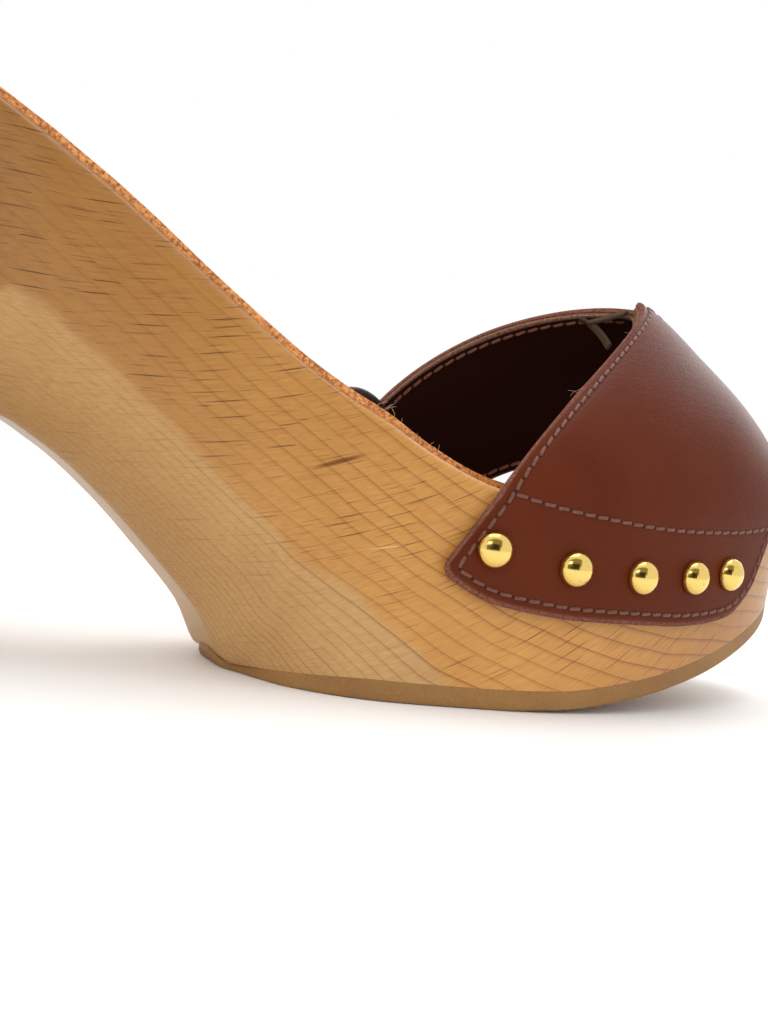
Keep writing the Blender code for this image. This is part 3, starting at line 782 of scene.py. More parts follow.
def beech():
    """European beech, sawn, sanded and varnished in satin. Late wood shows as thin brown lines,
    the rays show as dark spindles 2 to 8 mm long. IOR of varnish 1.5. The side is darker toward
    the heel as painted shade; the facet is paler, partly its own tone and partly painted reflection."""
    made, tree, shader = new_material("beech_satin_varnish")
    wood = bpy.context.scene.sandal_wood
    mm = vector(tree, "millimetres", "SCALE", object_place(tree), 1.0 / MM)
    x, y, z = wire(tree, "x y z", "ShaderNodeSeparateXYZ", n0=mm).outputs
    drift = noise(tree, "slow drift", mm, 0.045, 1.0)
    line = ring_lines(tree, x, drift)
    grain = bowed_grain(tree, x, y, z, drift)
    flecks = [ray_flecks(tree, label, grain, cell, size) for label, (cell, size, _) in RAYS.items()]
    facet = mark(tree, "facet", "facet")
    side = span(tree, "off the facet", facet, 0.0, 1.0, 1.0, 0.25)
    fibre = noise(tree, "fibres", vector(tree, "fibre place", "MULTIPLY", grain, FIBRES), 1.0, 4.0)
    patch = noise(tree, "patches", mm, 0.035, 2.0)
    # Painted shade: the side darkens from the forefoot toward the heel, as if light fell more from the
    # right.
    tone = span(tree, "painted shade from heel to forefoot", x, -115.0, 15.0)
    base = blend(tree, "side tone", tone, linear_of(wood.heel_shade_colour), linear_of(wood.side_colour))
    # The facet's paler colours are partly the beech's own tone and partly painted reflection of the white
    # floor on the varnish.
    pale = blend(tree, "facet tone and painted sheen", tone, linear_of(wood.facet_tone_and_sheen), linear_of(wood.under_tone_and_sheen))
    front = span(tree, "end of the toe", x, 40.0, 85.0, 0.0, 0.5)
    base = darken(tree, "darker toe", front, base, "#B89A88")
    base = blend(tree, "facet or side", times(tree, "facet share", facet, 0.85), base, pale)
    mottle = span(tree, "mottle", patch, 0.3, 0.7, 0.0, 0.4)
    base = darken(tree, "mottled", mottle, base, "#E2CCB4")
    grainy = span(tree, "fibre strength", fibre, 0.3, 0.7, 0.0, 0.4)
    base = darken(tree, "fibred", grainy, base, "#D4B890")
    base = darken(tree, "lined", times(tree, "line share", line, wood.line_strength), base, "#A07450")
    for fleck, (_, _, share) in zip(flecks, RAYS.values()):
        shown = times(tree, "fleck share", times(tree, "fleck", fleck, share), side)
        base = darken(tree, "flecked", shown, base, "#84664A")
    base = darken(tree, "streaked", spindle(tree, "dark streak", mm, *STREAK), base, "#A88C6C")
    scratch = times(tree, "scratch share", spindle(tree, "pale scratch", mm, *SCRATCH), 0.6)
    base = blend(tree, "scratched", scratch, base, linear("#E8C898"))
    tree.links.new(base, shader.inputs["Base Color"])
    height = number(tree, "line and fleck depth", "ADD", line, flecks[0])
    relief(tree, "pores and lines", shader, height, 0.12, inward=True)
    shader.inputs["Roughness"].default_value = 0.4
    shader.inputs["IOR"].default_value = 1.5
    shader.inputs["Specular IOR Level"].default_value = 0.35
    shader.inputs["Coat Weight"].default_value = 0.12
    shader.inputs["Coat Roughness"].default_value = 0.25
    return made


# Rubber


def outsole_points():
    """Rings of the forefoot outsole: flat on the wood, its lower edge rounded by a quarter
    circle, thinned and narrowed to a blunt tongue at the rear."""
    first = SOLE.where("low_x", RUBBER_REAR, ARCH_TOP)
    low_end = sole_row("toe tip")["low_x"]
    tongue = 14.0
    rear = RUBBER_REAR + tongue * np.linspace(0.0, 1.0, 22) ** 2
    middle = np.linspace(RUBBER_REAR + tongue, TOE_BEND, 70)[1:-1]
    toe = low_end - (low_end - TOE_BEND) * np.linspace(1.0, 0.0, 44) ** 2
    place = SOLE.where("low_x", np.concatenate([rear, middle, toe]), first)
    st = Stations(place[:, None])
    along = st.row["low_x"] - RUBBER_REAR
    half = st.flat * rounding(along + 0.4, 9.0)
    taper = np.sin(0.5 * np.pi * np.clip(along / RUBBER_TAPER, 0.0, 1.0))
    thick = RUBBER_THIN + (RUBBER - RUBBER_THIN) * taper
    edge = np.minimum(np.minimum(0.7, half * 0.5), 0.6 * thick)
    turn = np.radians(np.linspace(0.0, 90.0, 6))[None]
    halves = []
    for across in (1.0, -1.0):
        roof = st.under(across * half * np.linspace(0.0, 1.0, 6)[None], GLUED + 0.0 * half)
        fall = FIT_GAP + (thick - edge) * np.linspace(0.0, 1.0, 4)[None, 1:-1]
        wall = st.under(across * half, fall)
        arc_drop = FIT_GAP + thick - edge + edge * np.sin(turn)
        arc = st.under(across * (half - edge * (1.0 - np.cos(turn))), arc_drop)
        base = st.under(across * (half - edge) * np.linspace(1.0, 0.0, 6)[None, 1:], FIT_GAP + thick)
        halves.append(np.concatenate([roof, wall, arc, base], 1))
    ring = join_halves(halves)
    ring[..., 2] = np.where(ring[..., 2] < 0.25, 0.0, ring[..., 2])
    return close_ends(ring)


def lift_points():
    """Rubber tip of the heel: its outline, scaled about its middle at each height of the rows, so
    that the lower edge is rounded."""
    flat, front = sole_row("heel front")["low"], sole_row("heel front")["low_x"]
    back = sole_row("heel back")["low_x"]
    turn = np.pi * (0.5 + np.linspace(0.0, 1.0, 33))
    bow = np.stack([back + TIP_ROUND + TIP_ROUND * np.cos(turn), flat * np.sin(turn)], -1)
    straight = np.linspace(-flat, flat, 10)[1:-1]
    line = np.stack([np.full_like(straight, front), straight], -1)
    outline = np.concatenate([bow, [[front, -flat]], line, [[front, flat]]])
    middle = np.array([(back + front) / 2.0, 0.0])
    rows = [(0.0, 0.0), (0.0, 0.94), (0.15, 0.975), (0.45, 0.995), (0.8, 1.0), (LIFT, 1.0), (LIFT, 0.0)]
    rings = []
    for height, scale in rows:
        flat_ring = middle + (outline - middle) * scale
        rings.append(np.column_stack([flat_ring, np.full(len(flat_ring), height)]))
    return np.array(rings)


def rubber():
    """Moulded crepe-coloured rubber, matt, with a fine grit of 0.4 mm and paler rubbed patches."""
    made, tree, shader = new_material("moulded_rubber")
    settings = bpy.context.scene.sandal_rubber
    place = object_place(tree)
    cloud = noise(tree, "clouds", place, 60.0, 4.0)
    grit = noise(tree, "grit", place, 2400.0)
    worn = span(tree, "cloud share", cloud, 0.3, 0.7)
    base = blend(tree, "tone", worn, linear_of(settings.colour), linear_of(settings.worn_colour))
    base = darken(tree, "specked", span(tree, "specks", grit, 0.35, 0.7, 0.0, 0.3), base, "#B49A78")
    tree.links.new(base, shader.inputs["Base Color"])
    relief(tree, "grit bump", shader, grit, 0.35)
    shader.inputs["Roughness"].default_value = 0.62
    shader.inputs["IOR"].default_value = 1.52
    return made


# Insole


def insole_margin(st):
    """How far the insole stays inside the sole's rim: 2.4 mm, growing to 6 under the panels."""
    drawn = smooth(st.top[..., 0], 112.0, 142.0)
    return np.minimum(RIM_ROUND + 3.6 * drawn, st.rim * 0.6)


def insole_points():
    """Rings of the insole: the footbed lifted by the leather's thickness, its cut edge wavy by
    a tenth of a millimetre."""
    x = np.concatenate([
        INSOLE_REAR + 30.0 * np.linspace(0.0, 1.0, 44) ** 2,
        np.linspace(38.5, 205.0, 240)[1:-1],
        INSOLE_FRONT - (INSOLE_FRONT - 205.0) * np.linspace(1.0, 0.0, 44) ** 2,
    ])
    st = Stations(SOLE.where("top_x", x)[:, None])
    margin = insole_margin(st)
    rng = np.random.default_rng(5)
    halves = []
    marks = []
    for across in (1.0, -1.0):
        ragged = rng.normal(0.0, 0.09, (len(x), 5))
        ragged[:, 0] = ragged[:, -1] = 0.0
        under = st.footbed(across * np.linspace(0.0, 1.0, 10)[None], GLUED + 0.0 * st.rim, margin)
        lifts = FIT_GAP + INSOLE * np.array([0.0, 0.3, 0.55, 0.78, 0.97])[None] + 0.0 * st.rim
        edge = st.footbed(across * np.ones((1, 5)), lifts, margin)
        edge[..., 1] += across * ragged * np.minimum(st.rim / 6.0, 1.0)
        top = np.full_like(st.rim, FIT_GAP + INSOLE)
        over = st.footbed(across * np.linspace(0.99, 0.0, 14)[None], top, margin)
        halves.append(np.concatenate([under, edge, over], 1))
        plain = np.zeros_like(under[..., 0]), np.zeros_like(over[..., 0])
        marks.append(np.hstack([plain[0], np.ones_like(edge[..., 0]), plain[1]]))
    return close_ends(join_halves(halves)), close_ends(join_halves(marks))


def insole_leather():
    """Vegetable-tanned leather: smooth and waxed on top, its raw cut edge orange-red and
    fibrous. The top has pores about 0.5 mm apart."""
    made, tree, shader = new_material("vegetable_tanned_insole")
    settings = bpy.context.scene.sandal_leather
    place = object_place(tree)
    pores = noise(tree, "pores", place, 1900.0, 3.0)
    fuzz = noise(tree, "fuzz", place, 1300.0, 5.0, Roughness=0.7)
    edge = mark(tree, "cut edge", "edge")
    fuzzy = span(tree, "fuzz share", fuzz, 0.38, 0.62)
    raw = blend(tree, "raw colour", fuzzy, linear("#96501E"), linear("#EDA45C"))
    base = blend(tree, "edge or top", edge, linear_of(settings.insole_colour), raw)
    tree.links.new(base, shader.inputs["Base Color"])
    relief(tree, "leather bump", shader, between(tree, "fuzz height", edge, pores, fuzz), 0.6, 0.0003)
    shader.inputs["Roughness"].default_value = 0.6
    shader.inputs["IOR"].default_value = 1.45
    return made


# Upper


def spread(count, dense):
    """Numbers from 0 to 1, closer together near both ends: t - dense sin(2 pi t) / (2 pi)."""
    t = np.linspace(0.0, 1.0, count)
    return t - dense * np.sin(2.0 * np.pi * t) / (2.0 * np.pi)


class Sheet:
    """Grid of a panel with its outline's corners rounded: each column of the grid starts and
    ends where a circle of the corner's radius does. Arc lengths over the grid give each point's
    distance to the outline."""

    def __init__(self, panel, columns, rows, inset=0.0):
        self.panel = panel
        place = spread(columns, 0.55) * panel.last
        share = spread(rows, 0.45)
        wide = self.lengths(place, np.zeros_like(place))
        high = self.lengths(np.full_like(share, 0.0), share)[-1]
        reach = wide[-1]
        rear_low, rear_top, front_low, front_top = CORNERS
        start = self.bite(wide, rear_low) + self.bite(reach - wide, front_low)
        close = self.bite(wide, rear_top) + self.bite(reach - wide, front_top)
        first = (start + inset) / high
        last = 1.0 - (close + inset) / high
        squeeze = inset / reach
        place = (squeeze + place / panel.last * (1.0 - 2.0 * squeeze)) * panel.last
        self.place = np.broadcast_to(place[:, None], (columns, rows))
        self.share = first[:, None] + (last - first)[:, None] * share[None]
        self.middle, self.normal = panel.surface(self.place, self.share)
        self.distances()

    def lengths(self, place, share):
        return arc_length(self.panel.middle(place, share))

    @staticmethod
    def bite(distance, radius):
        """Depth r - (r^2 - (r - d)^2)^0.5 that a rounded corner takes at distance d."""
        short = np.clip(radius - distance, 0.0, radius)
        return radius - np.sqrt(radius**2 - short**2)

    def distances(self):
        """Distance to the rear, front, foot and ridge outline, along the grid's own lines."""
        along = np.linalg.norm(np.diff(self.middle, axis=0), axis=-1)
        up = np.linalg.norm(np.diff(self.middle, axis=1), axis=-1)
        along = np.vstack([np.zeros((1, along.shape[1])), np.cumsum(along, 0)])
        up = np.hstack([np.zeros((up.shape[0], 1)), np.cumsum(up, 1)])
        one = unit(np.gradient(self.middle, axis=0))
        two = unit(np.gradient(self.middle, axis=1))
        sine = np.linalg.norm(np.cross(one, two), axis=-1)
        self.rear, self.front = along * sine, (along[-1:] - along) * sine
        self.foot, self.ridge = up * sine, (up[:, -1:] - up) * sine
        self.edge = np.minimum(np.minimum(self.rear, self.front), np.minimum(self.foot, self.ridge))


def slab(sheet, over, under, bulge=0.3, steps=5):
    """Closed layer between two offsets of a sheet. The rim between them is
    middle + normal (h/2) cos a + outward bulge sin a, for a from 0 to 180 degrees."""
    top = sheet.middle + sheet.normal * over[..., None]
    low = sheet.middle + sheet.normal * under[..., None]
    rows, columns = top.shape[:2]
    index = np.arange(rows * columns).reshape(rows, columns)
    rim = np.concatenate([index[:-1, 0], index[-1, :-1], index[:0:-1, -1], index[0, :0:-1]])
    i, j = np.unravel_index(rim, (rows, columns))
    inner_i, inner_j = np.clip(i, 1, rows - 2), np.clip(j, 1, columns - 2)
    outward = unit(sheet.middle[i, j] - sheet.middle[inner_i, inner_j])
    angle = np.linspace(0.0, np.pi, steps + 2)[1:-1, None, None]
    centre = 0.5 * (top[i, j] + low[i, j])
    half = 0.5 * (top[i, j] - low[i, j])
    rings = centre + half * np.cos(angle) + outward * bulge * np.sin(angle)
    size = rows * columns
    points = np.concatenate([top.reshape(-1, 3), low.reshape(-1, 3), rings.reshape(-1, 3)])
    loops = [rim, *(2 * size + k * len(rim) + np.arange(len(rim)) for k in range(steps)), rim + size]
    band = np.array(loops)
    band = np.hstack([band, band[:, :1]])
    sides = np.stack([band[:-1, :-1], band[:-1, 1:], band[1:, 1:], band[1:, :-1]], -1).reshape(-1, 4)
    sheets = grid_faces(rows, columns)
    faces = np.concatenate([sheets, sheets[:, ::-1] + size, sides])
    near = 1.0 - smooth(sheet.edge, 0.35, 0.95).ravel()
    edge = np.concatenate([near, near, np.ones(steps * len(rim))])
    return points, faces, edge


def cross_seam(panel, place):
    """Share at which the seam above the wood's edge runs, falling a little toward the toe."""
    return panel.seam_share - CROSS_FALL * place / panel.last


def face_layer(panel, columns, rows, inset):
    """Outer leather of a panel, pressed in by SEAM_GROOVE exp(-(d/SEAM_WIDTH)^2) at d millimetres
    from a seam and by EDGE_WEAR exp(-e/0.5) at e millimetres from its edge."""
    sheet = Sheet(panel, columns, rows)
    cross = np.abs(sheet.share - cross_seam(panel, sheet.place)) * 90.0
    seam = np.minimum(np.abs(sheet.edge - inset), cross)
    groove = SEAM_GROOVE * np.exp(-((seam / SEAM_WIDTH) ** 2)) + EDGE_WEAR * np.exp(-sheet.edge / 0.5)
    return slab(sheet, LEATHER / 2 - groove, np.full_like(groove, -SPLIT))


def lining_layer(panel, columns, rows):
    """Lining of a panel, cut a little smaller and thinned by SPLIT exp(-e/0.4) at its edge."""
    sheet = Sheet(panel, columns, rows, inset=0.35)
    over = np.full_like(sheet.edge, -SPLIT - 0.02)
    under = SPLIT * np.exp(-sheet.edge / 0.4) - LEATHER / 2
    return slab(sheet, over, under, bulge=0.15)


def stitch_lines(panel, inset):
    """Seam lines of a panel as (place, share) paths: one round the outline at the inset, with
    its corners rounded, and one across above the wood's edge."""
    t = np.linspace(0.0, 1.0, 160)
    end = 1.0 if panel is OUTER else panel.arch_share + 0.02

    def step_in(place, share, axis):
        """Share of the panel that the inset takes there, along places or along shares."""
        h = 0.01
        p = np.clip(np.stack([place - h * panel.last, place + h * panel.last]), 0, panel.last)
        s = np.clip(np.stack([share - h, share + h]), 0, 1)
        one = np.diff(panel.middle(p, np.stack([share, share])), axis=0)[0]
        two = np.diff(panel.middle(np.stack([place, place]), s), axis=0)[0]
        one /= np.diff(p, axis=0)[0][..., None]
        two /= np.diff(s, axis=0)[0][..., None]
        area = np.linalg.norm(np.cross(one, two), axis=-1)
        other = two if axis == "place" else one
        return inset * np.linalg.norm(other, axis=-1) / area

    rear = step_in(0.0 * t, end * t, "place")
    front = panel.last - step_in(0.0 * t + panel.last, end * t, "place")
    place = panel.last * t
    foot = step_in(place, 0.0 * t, "share")
    ridge = end - step_in(place, 0.0 * t + end, "share")

    def inside(path):
        """The stretch of a side that lies between the other three."""
        p, s = path[:, 0], path[:, 1]
        along = (p >= np.interp(s, end * t, rear) - 1e-6) & (p <= np.interp(s, end * t, front) + 1e-6)
        up = (s >= np.interp(p, place, foot) - 1e-6) & (s <= np.interp(p, place, ridge) + 1e-6)
        return path[along & up]

    sides = [
        np.stack([rear, end * t], -1)[::-1],
        np.stack([place, foot], -1),
        np.stack([front, end * t], -1),
        np.stack([place, ridge], -1)[::-1],
    ]
    loop = np.concatenate([inside(side) for side in (sides if panel is OUTER else sides[:3])])
    level = t.searchsorted(OUTER.seam_share)
    across = np.linspace(rear[level], front[level], len(t))
    return loop, np.stack([across, cross_seam(panel, across)], -1)


def even_path(panel, path, off, pitch, closed, soften=1.6):
    """Points, normals and centres of stitches along a (place, share) path: the path is resampled
    every FINE_STEP, smoothed over soften millimetres and walked at the pitch."""
    points, _ = panel.surface(path[:, 0], path[:, 1], off)
    along = arc_length(points)
    fine = np.linspace(0.0, along[-1], int(along[-1] / FINE_STEP))
    path = np.stack([np.interp(fine, along, path[:, k]) for k in (0, 1)], -1)
    reach = int(soften / FINE_STEP)
    kernel = np.hanning(2 * reach + 3)[1:-1]
    kernel /= kernel.sum()
    padded = np.concatenate([np.repeat(path[:1], reach, 0), path, np.repeat(path[-1:], reach, 0)])
    if closed:
        padded = np.concatenate([path[-reach:], path, path[:reach]])
    path = np.stack([np.convolve(padded[:, k], kernel, "valid") for k in (0, 1)], -1)
    points, normals = panel.surface(path[:, 0], path[:, 1], off)
    along = arc_length(points)
    count = max(int(round(along[-1] / pitch)), 1)
    centres = (np.arange(count) + 0.5) * along[-1] / count
    return along, points, normals, centres


def walk(along, points, normals, at):
    """Points and normals at lengths along a path."""
    where = np.stack([np.interp(at, along, points[:, k]) for k in range(3)], -1)
    facing = np.stack([np.interp(at, along, normals[:, k]) for k in range(3)], -1)
    return where, unit(facing)


def stitches(along, points, normals, centres, length, radius, rise, sign):
    """Short threads bowed over the leather: height = rise (1 - v^2) - 0.22 radius, its radius
    closing as (1 - v^8)^0.5, v from -1 to 1 along each stitch, turned a little off the seam."""
    v = np.linspace(-1.0, 1.0, 9)
    at = centres[:, None] + v[None] * length / 2.0
    where, facing = walk(along, points, normals, at)
    facing = facing * sign
    tangent = unit(np.gradient(where, axis=1))
    across = np.cross(facing, tangent)
    height = rise * (1.0 - v**2) - 0.22 * radius
    path = where + facing * height[None, :, None] + across * (0.14 * v)[None, :, None]
    thick = radius * np.sqrt(np.maximum(1.0 - v**8, 0.0)) + 0.0 * at
    return tubes(path, thick, facing, sides=8)


def holes(along, points, normals, centres, radius, sign):
    """Awl holes between the stitches as closed shallow discs of ten sides; their dark material is painted
    shade of the holes.
    """
    gap = np.diff(centres).mean() / 2.0
    at = np.append(centres - gap, centres[-1] + gap)
    where, facing = walk(along, points, normals, at)
    facing = facing * sign
    ahead, _ = walk(along, points, normals, at + 0.1)
    tangent = unit(ahead - where + 1e-9)
    side = unit(np.cross(facing, tangent))
    tangent = np.cross(side, facing)
    turn = np.linspace(0.0, 2.0 * np.pi, 10, endpoint=False)
    rings = []
    for scale, lift in ((0.0, -0.05), (1.25, -0.05), (1.0, 0.035), (0.0, 0.05)):
        spoke = tangent[:, None] * np.cos(turn)[:, None] + side[:, None] * np.sin(turn)[:, None]
        rings.append(where[:, None] + spoke * radius * scale + facing[:, None] * lift)
    points = np.stack(rings, 1)
    return points.reshape(-1, 3), many_faces(len(where), len(rings), len(turn))


def upper_leather(name, face, raw, rough, shine):
    """Chrome-tanned cowhide, aniline dyed and glazed: pores under 0.5 mm apart, fine creases, a
    soft sheen; the cut edge is left raw and shows the paler fibres."""
    made, tree, shader = new_material(name)
    place = object_place(tree)
    pores = wire(tree, "pores", "ShaderNodeTexVoronoi", Vector=place, Scale=2200.0).outputs["Distance"]
    cloud = noise(tree, "clouds", place, 45.0, 5.0)
    slant = (0.0, math.radians(12.0), 0.0)
    drawn = (90.0, 120.0, 900.0)
    bend = wire(tree, "crease place", "ShaderNodeMapping", Vector=place, Rotation=slant, Scale=drawn)
    crease = noise(tree, "creases", bend.outputs[0], 1.0, 3.0, Distortion=0.6)
    fuzz = noise(tree, "fibres", place, 1500.0, 5.0, Roughness=0.7)
    edge = mark(tree, "cut edge", "edge")
    base = darken(tree, "dyed face", span(tree, "tone", cloud, 0.3, 0.7, 0.0, 0.6), linear(face), "#D9C4BA")
    fuzzy = span(tree, "fibre share", fuzz, 0.36, 0.64, 0.0, 0.75)
    cut = darken(tree, "raw fibres", fuzzy, linear(raw), "#8C6450")
    tree.links.new(blend(tree, "face or edge", edge, base, cut), shader.inputs["Base Color"])
    fine = number(tree, "crease depth", "MULTIPLY_ADD", crease, 1.3, pores)
    relief(tree, "leather bump", shader, between(tree, "height", edge, fine, fuzz), 0.24)
    matt = span(tree, "matt edge", edge, 0.0, 1.0, rough, 0.85)
    tree.links.new(matt, shader.inputs["Roughness"])
    shader.inputs["IOR"].default_value = 1.48
    shader.inputs["Specular IOR Level"].default_value = shine
    return made


def thread():
    """Waxed polyester thread, twisted, 0.8 mm thick."""
    made, tree, shader = new_material("waxed_thread")
    settings = bpy.context.scene.sandal_leather
    twist = noise(tree, "twist", object_place(tree), 2600.0)
    share = span(tree, "twist share", twist, 0.35, 0.65, 0.0, 0.6)
    base = darken(tree, "thread tone", share, linear_of(settings.thread_colour), "#9A7464")
    tree.links.new(base, shader.inputs["Base Color"])
    relief(tree, "ply bump", shader, twist, 0.5)
    shader.inputs["Roughness"].default_value = 0.5
    return made


def fibre_material():
    """Pale loose fibres of leather and thread."""
    made, tree, shader = new_material("loose_fibre")
    shade = noise(tree, "shade", object_place(tree), 400.0)
    base = blend(tree, "fibre tone", shade, linear("#B08A66"), linear("#D8C4A8"))
    tree.links.new(base, shader.inputs["Base Color"])
    shader.inputs["Roughness"].default_value = 0.7
    return made


def painted_hole_shade():
    """Awl holes: painted shade, near-black with a speckled bottom, standing for the shadow down in each
    hole.
    """
    made, tree, shader = new_material("awl_hole_painted_shade")
    speck = noise(tree, "speck", object_place(tree), 3000.0)
    base = blend(tree, "painted shade tone", speck, linear("#140805"), linear("#3A1C12"))
    tree.links.new(base, shader.inputs["Base Color"])
    shader.inputs["Roughness"].default_value = 0.9
    return made


# Small leather pieces and hairs


def strap(path, wide, thick, count=24, sides=14):
    """Strip of leather along the Bezier curve of four points, its width lying toward Y. Each
    section is side (wide/2) c|c|^-0.4 + normal (thick/2) s|s|^-0.4, c and s being the cosine and
    the sine of the angle round it; the ends close over half a thickness."""
    t = np.linspace(0.0, 1.0, count)
    line = bezier(*np.array(path, float), t)
    tangent = unit(np.gradient(line, axis=0))
    side = unit(np.array([0.0, 1.0, 0.0]) - tangent * tangent[:, 1:2])
    normal = np.cross(tangent, side)
    angle = np.linspace(0.0, 2.0 * np.pi, sides, endpoint=False)
    c, s = np.cos(angle), np.sin(angle)
    c, s = np.sign(c) * np.abs(c) ** 0.6, np.sign(s) * np.abs(s) ** 0.6
    length = np.linalg.norm(np.diff(line, axis=0), axis=1).sum()
    close = rounding(np.minimum(t, 1.0 - t) * length, thick / 2)[:, None, None]
    ring = side[:, None] * (wide / 2 * c)[:, None] + normal[:, None] * (thick / 2 * s)[:, None]
    points = line[:, None] + ring * close
    return points.reshape(-1, 3), grid_faces(count, sides, wrap=True)


def hairs(roots, ways, lengths, seed):
    """Loose fibres that curl: root + way s + curl (s^2 / length), s from 0 to their length."""
    rng = np.random.default_rng(seed)
    s = np.linspace(0.0, 1.0, 7)[None, :, None] * lengths[:, None, None]
    curl = rng.normal(0.0, 0.5, roots.shape)
    paths = roots[:, None] + ways[:, None] * s + curl[:, None] * s**2 / lengths[:, None, None]
    thin = np.sqrt(1.0 - np.linspace(-1.0, 1.0, 7)[None] ** 4)
    radii = HAIR_RADIUS * thin + np.zeros((len(roots), 1))
    return tubes(paths, radii, np.cross(ways, UP + 0.3)[:, None] + 0.0 * paths, sides=5)


# Nails


def nail_places(panel, first_x, gaps):
    """Points on a panel's outside, gaps apart, with the direction out of the leather."""
    found = []
    x = first_x
    for number, gap in enumerate((*gaps, 0.0)):
        z = SOLE.at(SOLE.where("top_x", x))["top_z"] - NAIL_RISE + NAIL_CLIMB * number
        surface = wall_point(x, z, panel.across, LEATHER + 2 * FIT_GAP)
        found.append((surface, unit(surface - wall_point(x, z, panel.across, 0.0))))
        ahead = x + 0.2 * np.arange(400)
        clear = np.linalg.norm(wall_point(ahead, z, panel.across, 3.0) - surface, axis=-1)
        x = float(ahead[int(np.argmax(clear >= gap))])
    return found


def nail_points(position, out):
    """Domed head turned round its axis: crown r = R cos a, h = dome sin a, with a thin skirt
    pressed into the leather and a short neck behind it."""
    angle = np.radians(np.linspace(90.0, 4.0, 18))
    radius, height = NAIL_HEAD / 2 * np.cos(angle), NAIL_DOME * np.sin(angle)
    radius[0] = 0.0
    radius = np.concatenate([radius, [NAIL_HEAD / 2 + 0.02, NAIL_HEAD / 2 - 0.1, 0.75, 0.75, 0.0]])
    height = np.concatenate([height, [0.05, -0.12, -0.12, -9.0, -11.0]])
    side = unit(np.cross(UP, out))
    other = np.cross(out, side)
    turn = np.linspace(0.0, 2.0 * np.pi, 48, endpoint=False)
    spoke = side * np.cos(turn)[:, None] + other * np.sin(turn)[:, None]
    return position + spoke[None] * radius[:, None, None] + out * height[:, None, None]


def brass():
    """Polished and lacquered brass, pressed: mirror bright, with faint tarnish spots."""
    made, tree, shader = new_material("polished_brass")
    settings = bpy.context.scene.sandal_brass
    spots = noise(tree, "tarnish", object_place(tree), 700.0, 4.0, Roughness=0.7)
    share = span(tree, "tarnish share", spots, 0.62, 0.74, 0.0, 0.8)
    base = blend(tree, "brass tone", share, linear_of(settings.colour), linear("#6A4A22"))
    tree.links.new(base, shader.inputs["Base Color"])
    tree.links.new(span(tree, "dull spots", share, 0.0, 0.8, 0.15, 0.4), shader.inputs["Roughness"])
    shader.inputs["Metallic"].default_value = 1.0
    return made


# Stage


def plain_material(name, colour, roughness):
    """Plain paper or cloth of the stage."""
    made, _, shader = new_material(name)
    shader.inputs["Base Color"].default_value = colour
    shader.inputs["Roughness"].default_value = roughness
    return made


def add_light(name, location, target, size, power):
    """A white softbox that looks at a target; power is in watts."""
    data = bpy.data.lights.new(name, "AREA")
    data.shape = "RECTANGLE"
    data.size, data.size_y = size
    data.energy = power
    made = put(name, data)
    made.matrix_world = facing(location, target)
    return made


def facing(location, target):
    """World matrix at a location whose +Z looks away from a target."""
    back = unit(np.array(location) - np.array(target))
    side = unit(np.cross(UP, back) + 1e-9)
    matrix = np.eye(4)
    matrix[:3, :3] = np.array([side, np.cross(back, side), back]).T
    matrix[:3, 3] = location
    return Matrix(matrix.tolist())


def add_card(name, location, target, size, colour):
    """A card behind the camera, which only reflections show."""
    wide, high = size[0] / 2, size[1] / 2
    corners = [(-wide, -high, 0), (wide, -high, 0), (wide, high, 0), (-wide, high, 0)]
    mesh = bpy.data.meshes.new(name)
    mesh.from_pydata(corners, [], [(3, 2, 1, 0)])
    mesh.materials.append(plain_material(name, linear(colour), 1.0))
    made = put(name, mesh)
    made.matrix_world = facing(location, target)
    made.visible_camera = made.visible_diffuse = made.visible_shadow = False
    return made


def add_floor(colour):
    """A disc of pale paper 24 m across, just under the shoe."""
    turn = np.linspace(0.0, 2.0 * np.pi, 96, endpoint=False)
    radii = np.array([0.0, 0.3, 1.0, 4.0, 12.0])
    level = np.full((len(radii), len(turn)), -FLOOR_DROP)
    rings = np.stack([radii[:, None] * np.cos(turn), radii[:, None] * np.sin(turn), level], -1)
    faces = grid_faces(len(radii), len(turn), wrap=True)[:, ::-1]
    mesh = bpy.data.meshes.new("studio_floor")
    mesh.from_pydata(rings.reshape(-1, 3).tolist(), [], faces.tolist())
    mesh.materials.append(plain_material("floor_paper", colour, 0.7))
    made = put("studio_floor", mesh)
    return made


def add_camera():
    """Pinhole of the picture: FOCAL pixels of focal length in a frame PICTURE_HIGH high. Its
    azimuth counts from square to the lateral side, minus being behind, and its elevation from
    the level."""
    azimuth, elevation, roll = (math.radians(angle) for angle in CAMERA_TURN)
    back = np.array([
        math.sin(azimuth) * math.cos(elevation),
        -math.cos(azimuth) * math.cos(elevation),
        math.sin(elevation),
    ])
    right = unit(np.cross(-back, UP))
    up = np.cross(back, right)
    matrix = np.eye(4)
    matrix[:3, 0] = math.cos(roll) * right + math.sin(roll) * up
    matrix[:3, 1] = -math.sin(roll) * right + math.cos(roll) * up
    matrix[:3, 2] = back
    matrix[:3, 3] = to_row(CAMERA_SPOT)
    data = bpy.data.cameras.new("camera")
    data.sensor_width = SENSOR
    data.lens = SENSOR * FOCAL / PICTURE_HIGH
    data.clip_start = 0.01
    made = put("camera", data)
    made.matrix_world = Matrix(matrix.tolist())
    bpy.context.scene.camera = made
    return made


def colour_property(text, name, description):
    colour = linear(text)[:3]
    settings = {"subtype": "COLOR", "size": 3, "min": 0, "max": 1, "default": colour}
    return FloatVectorProperty(name=name, description=description, **settings)


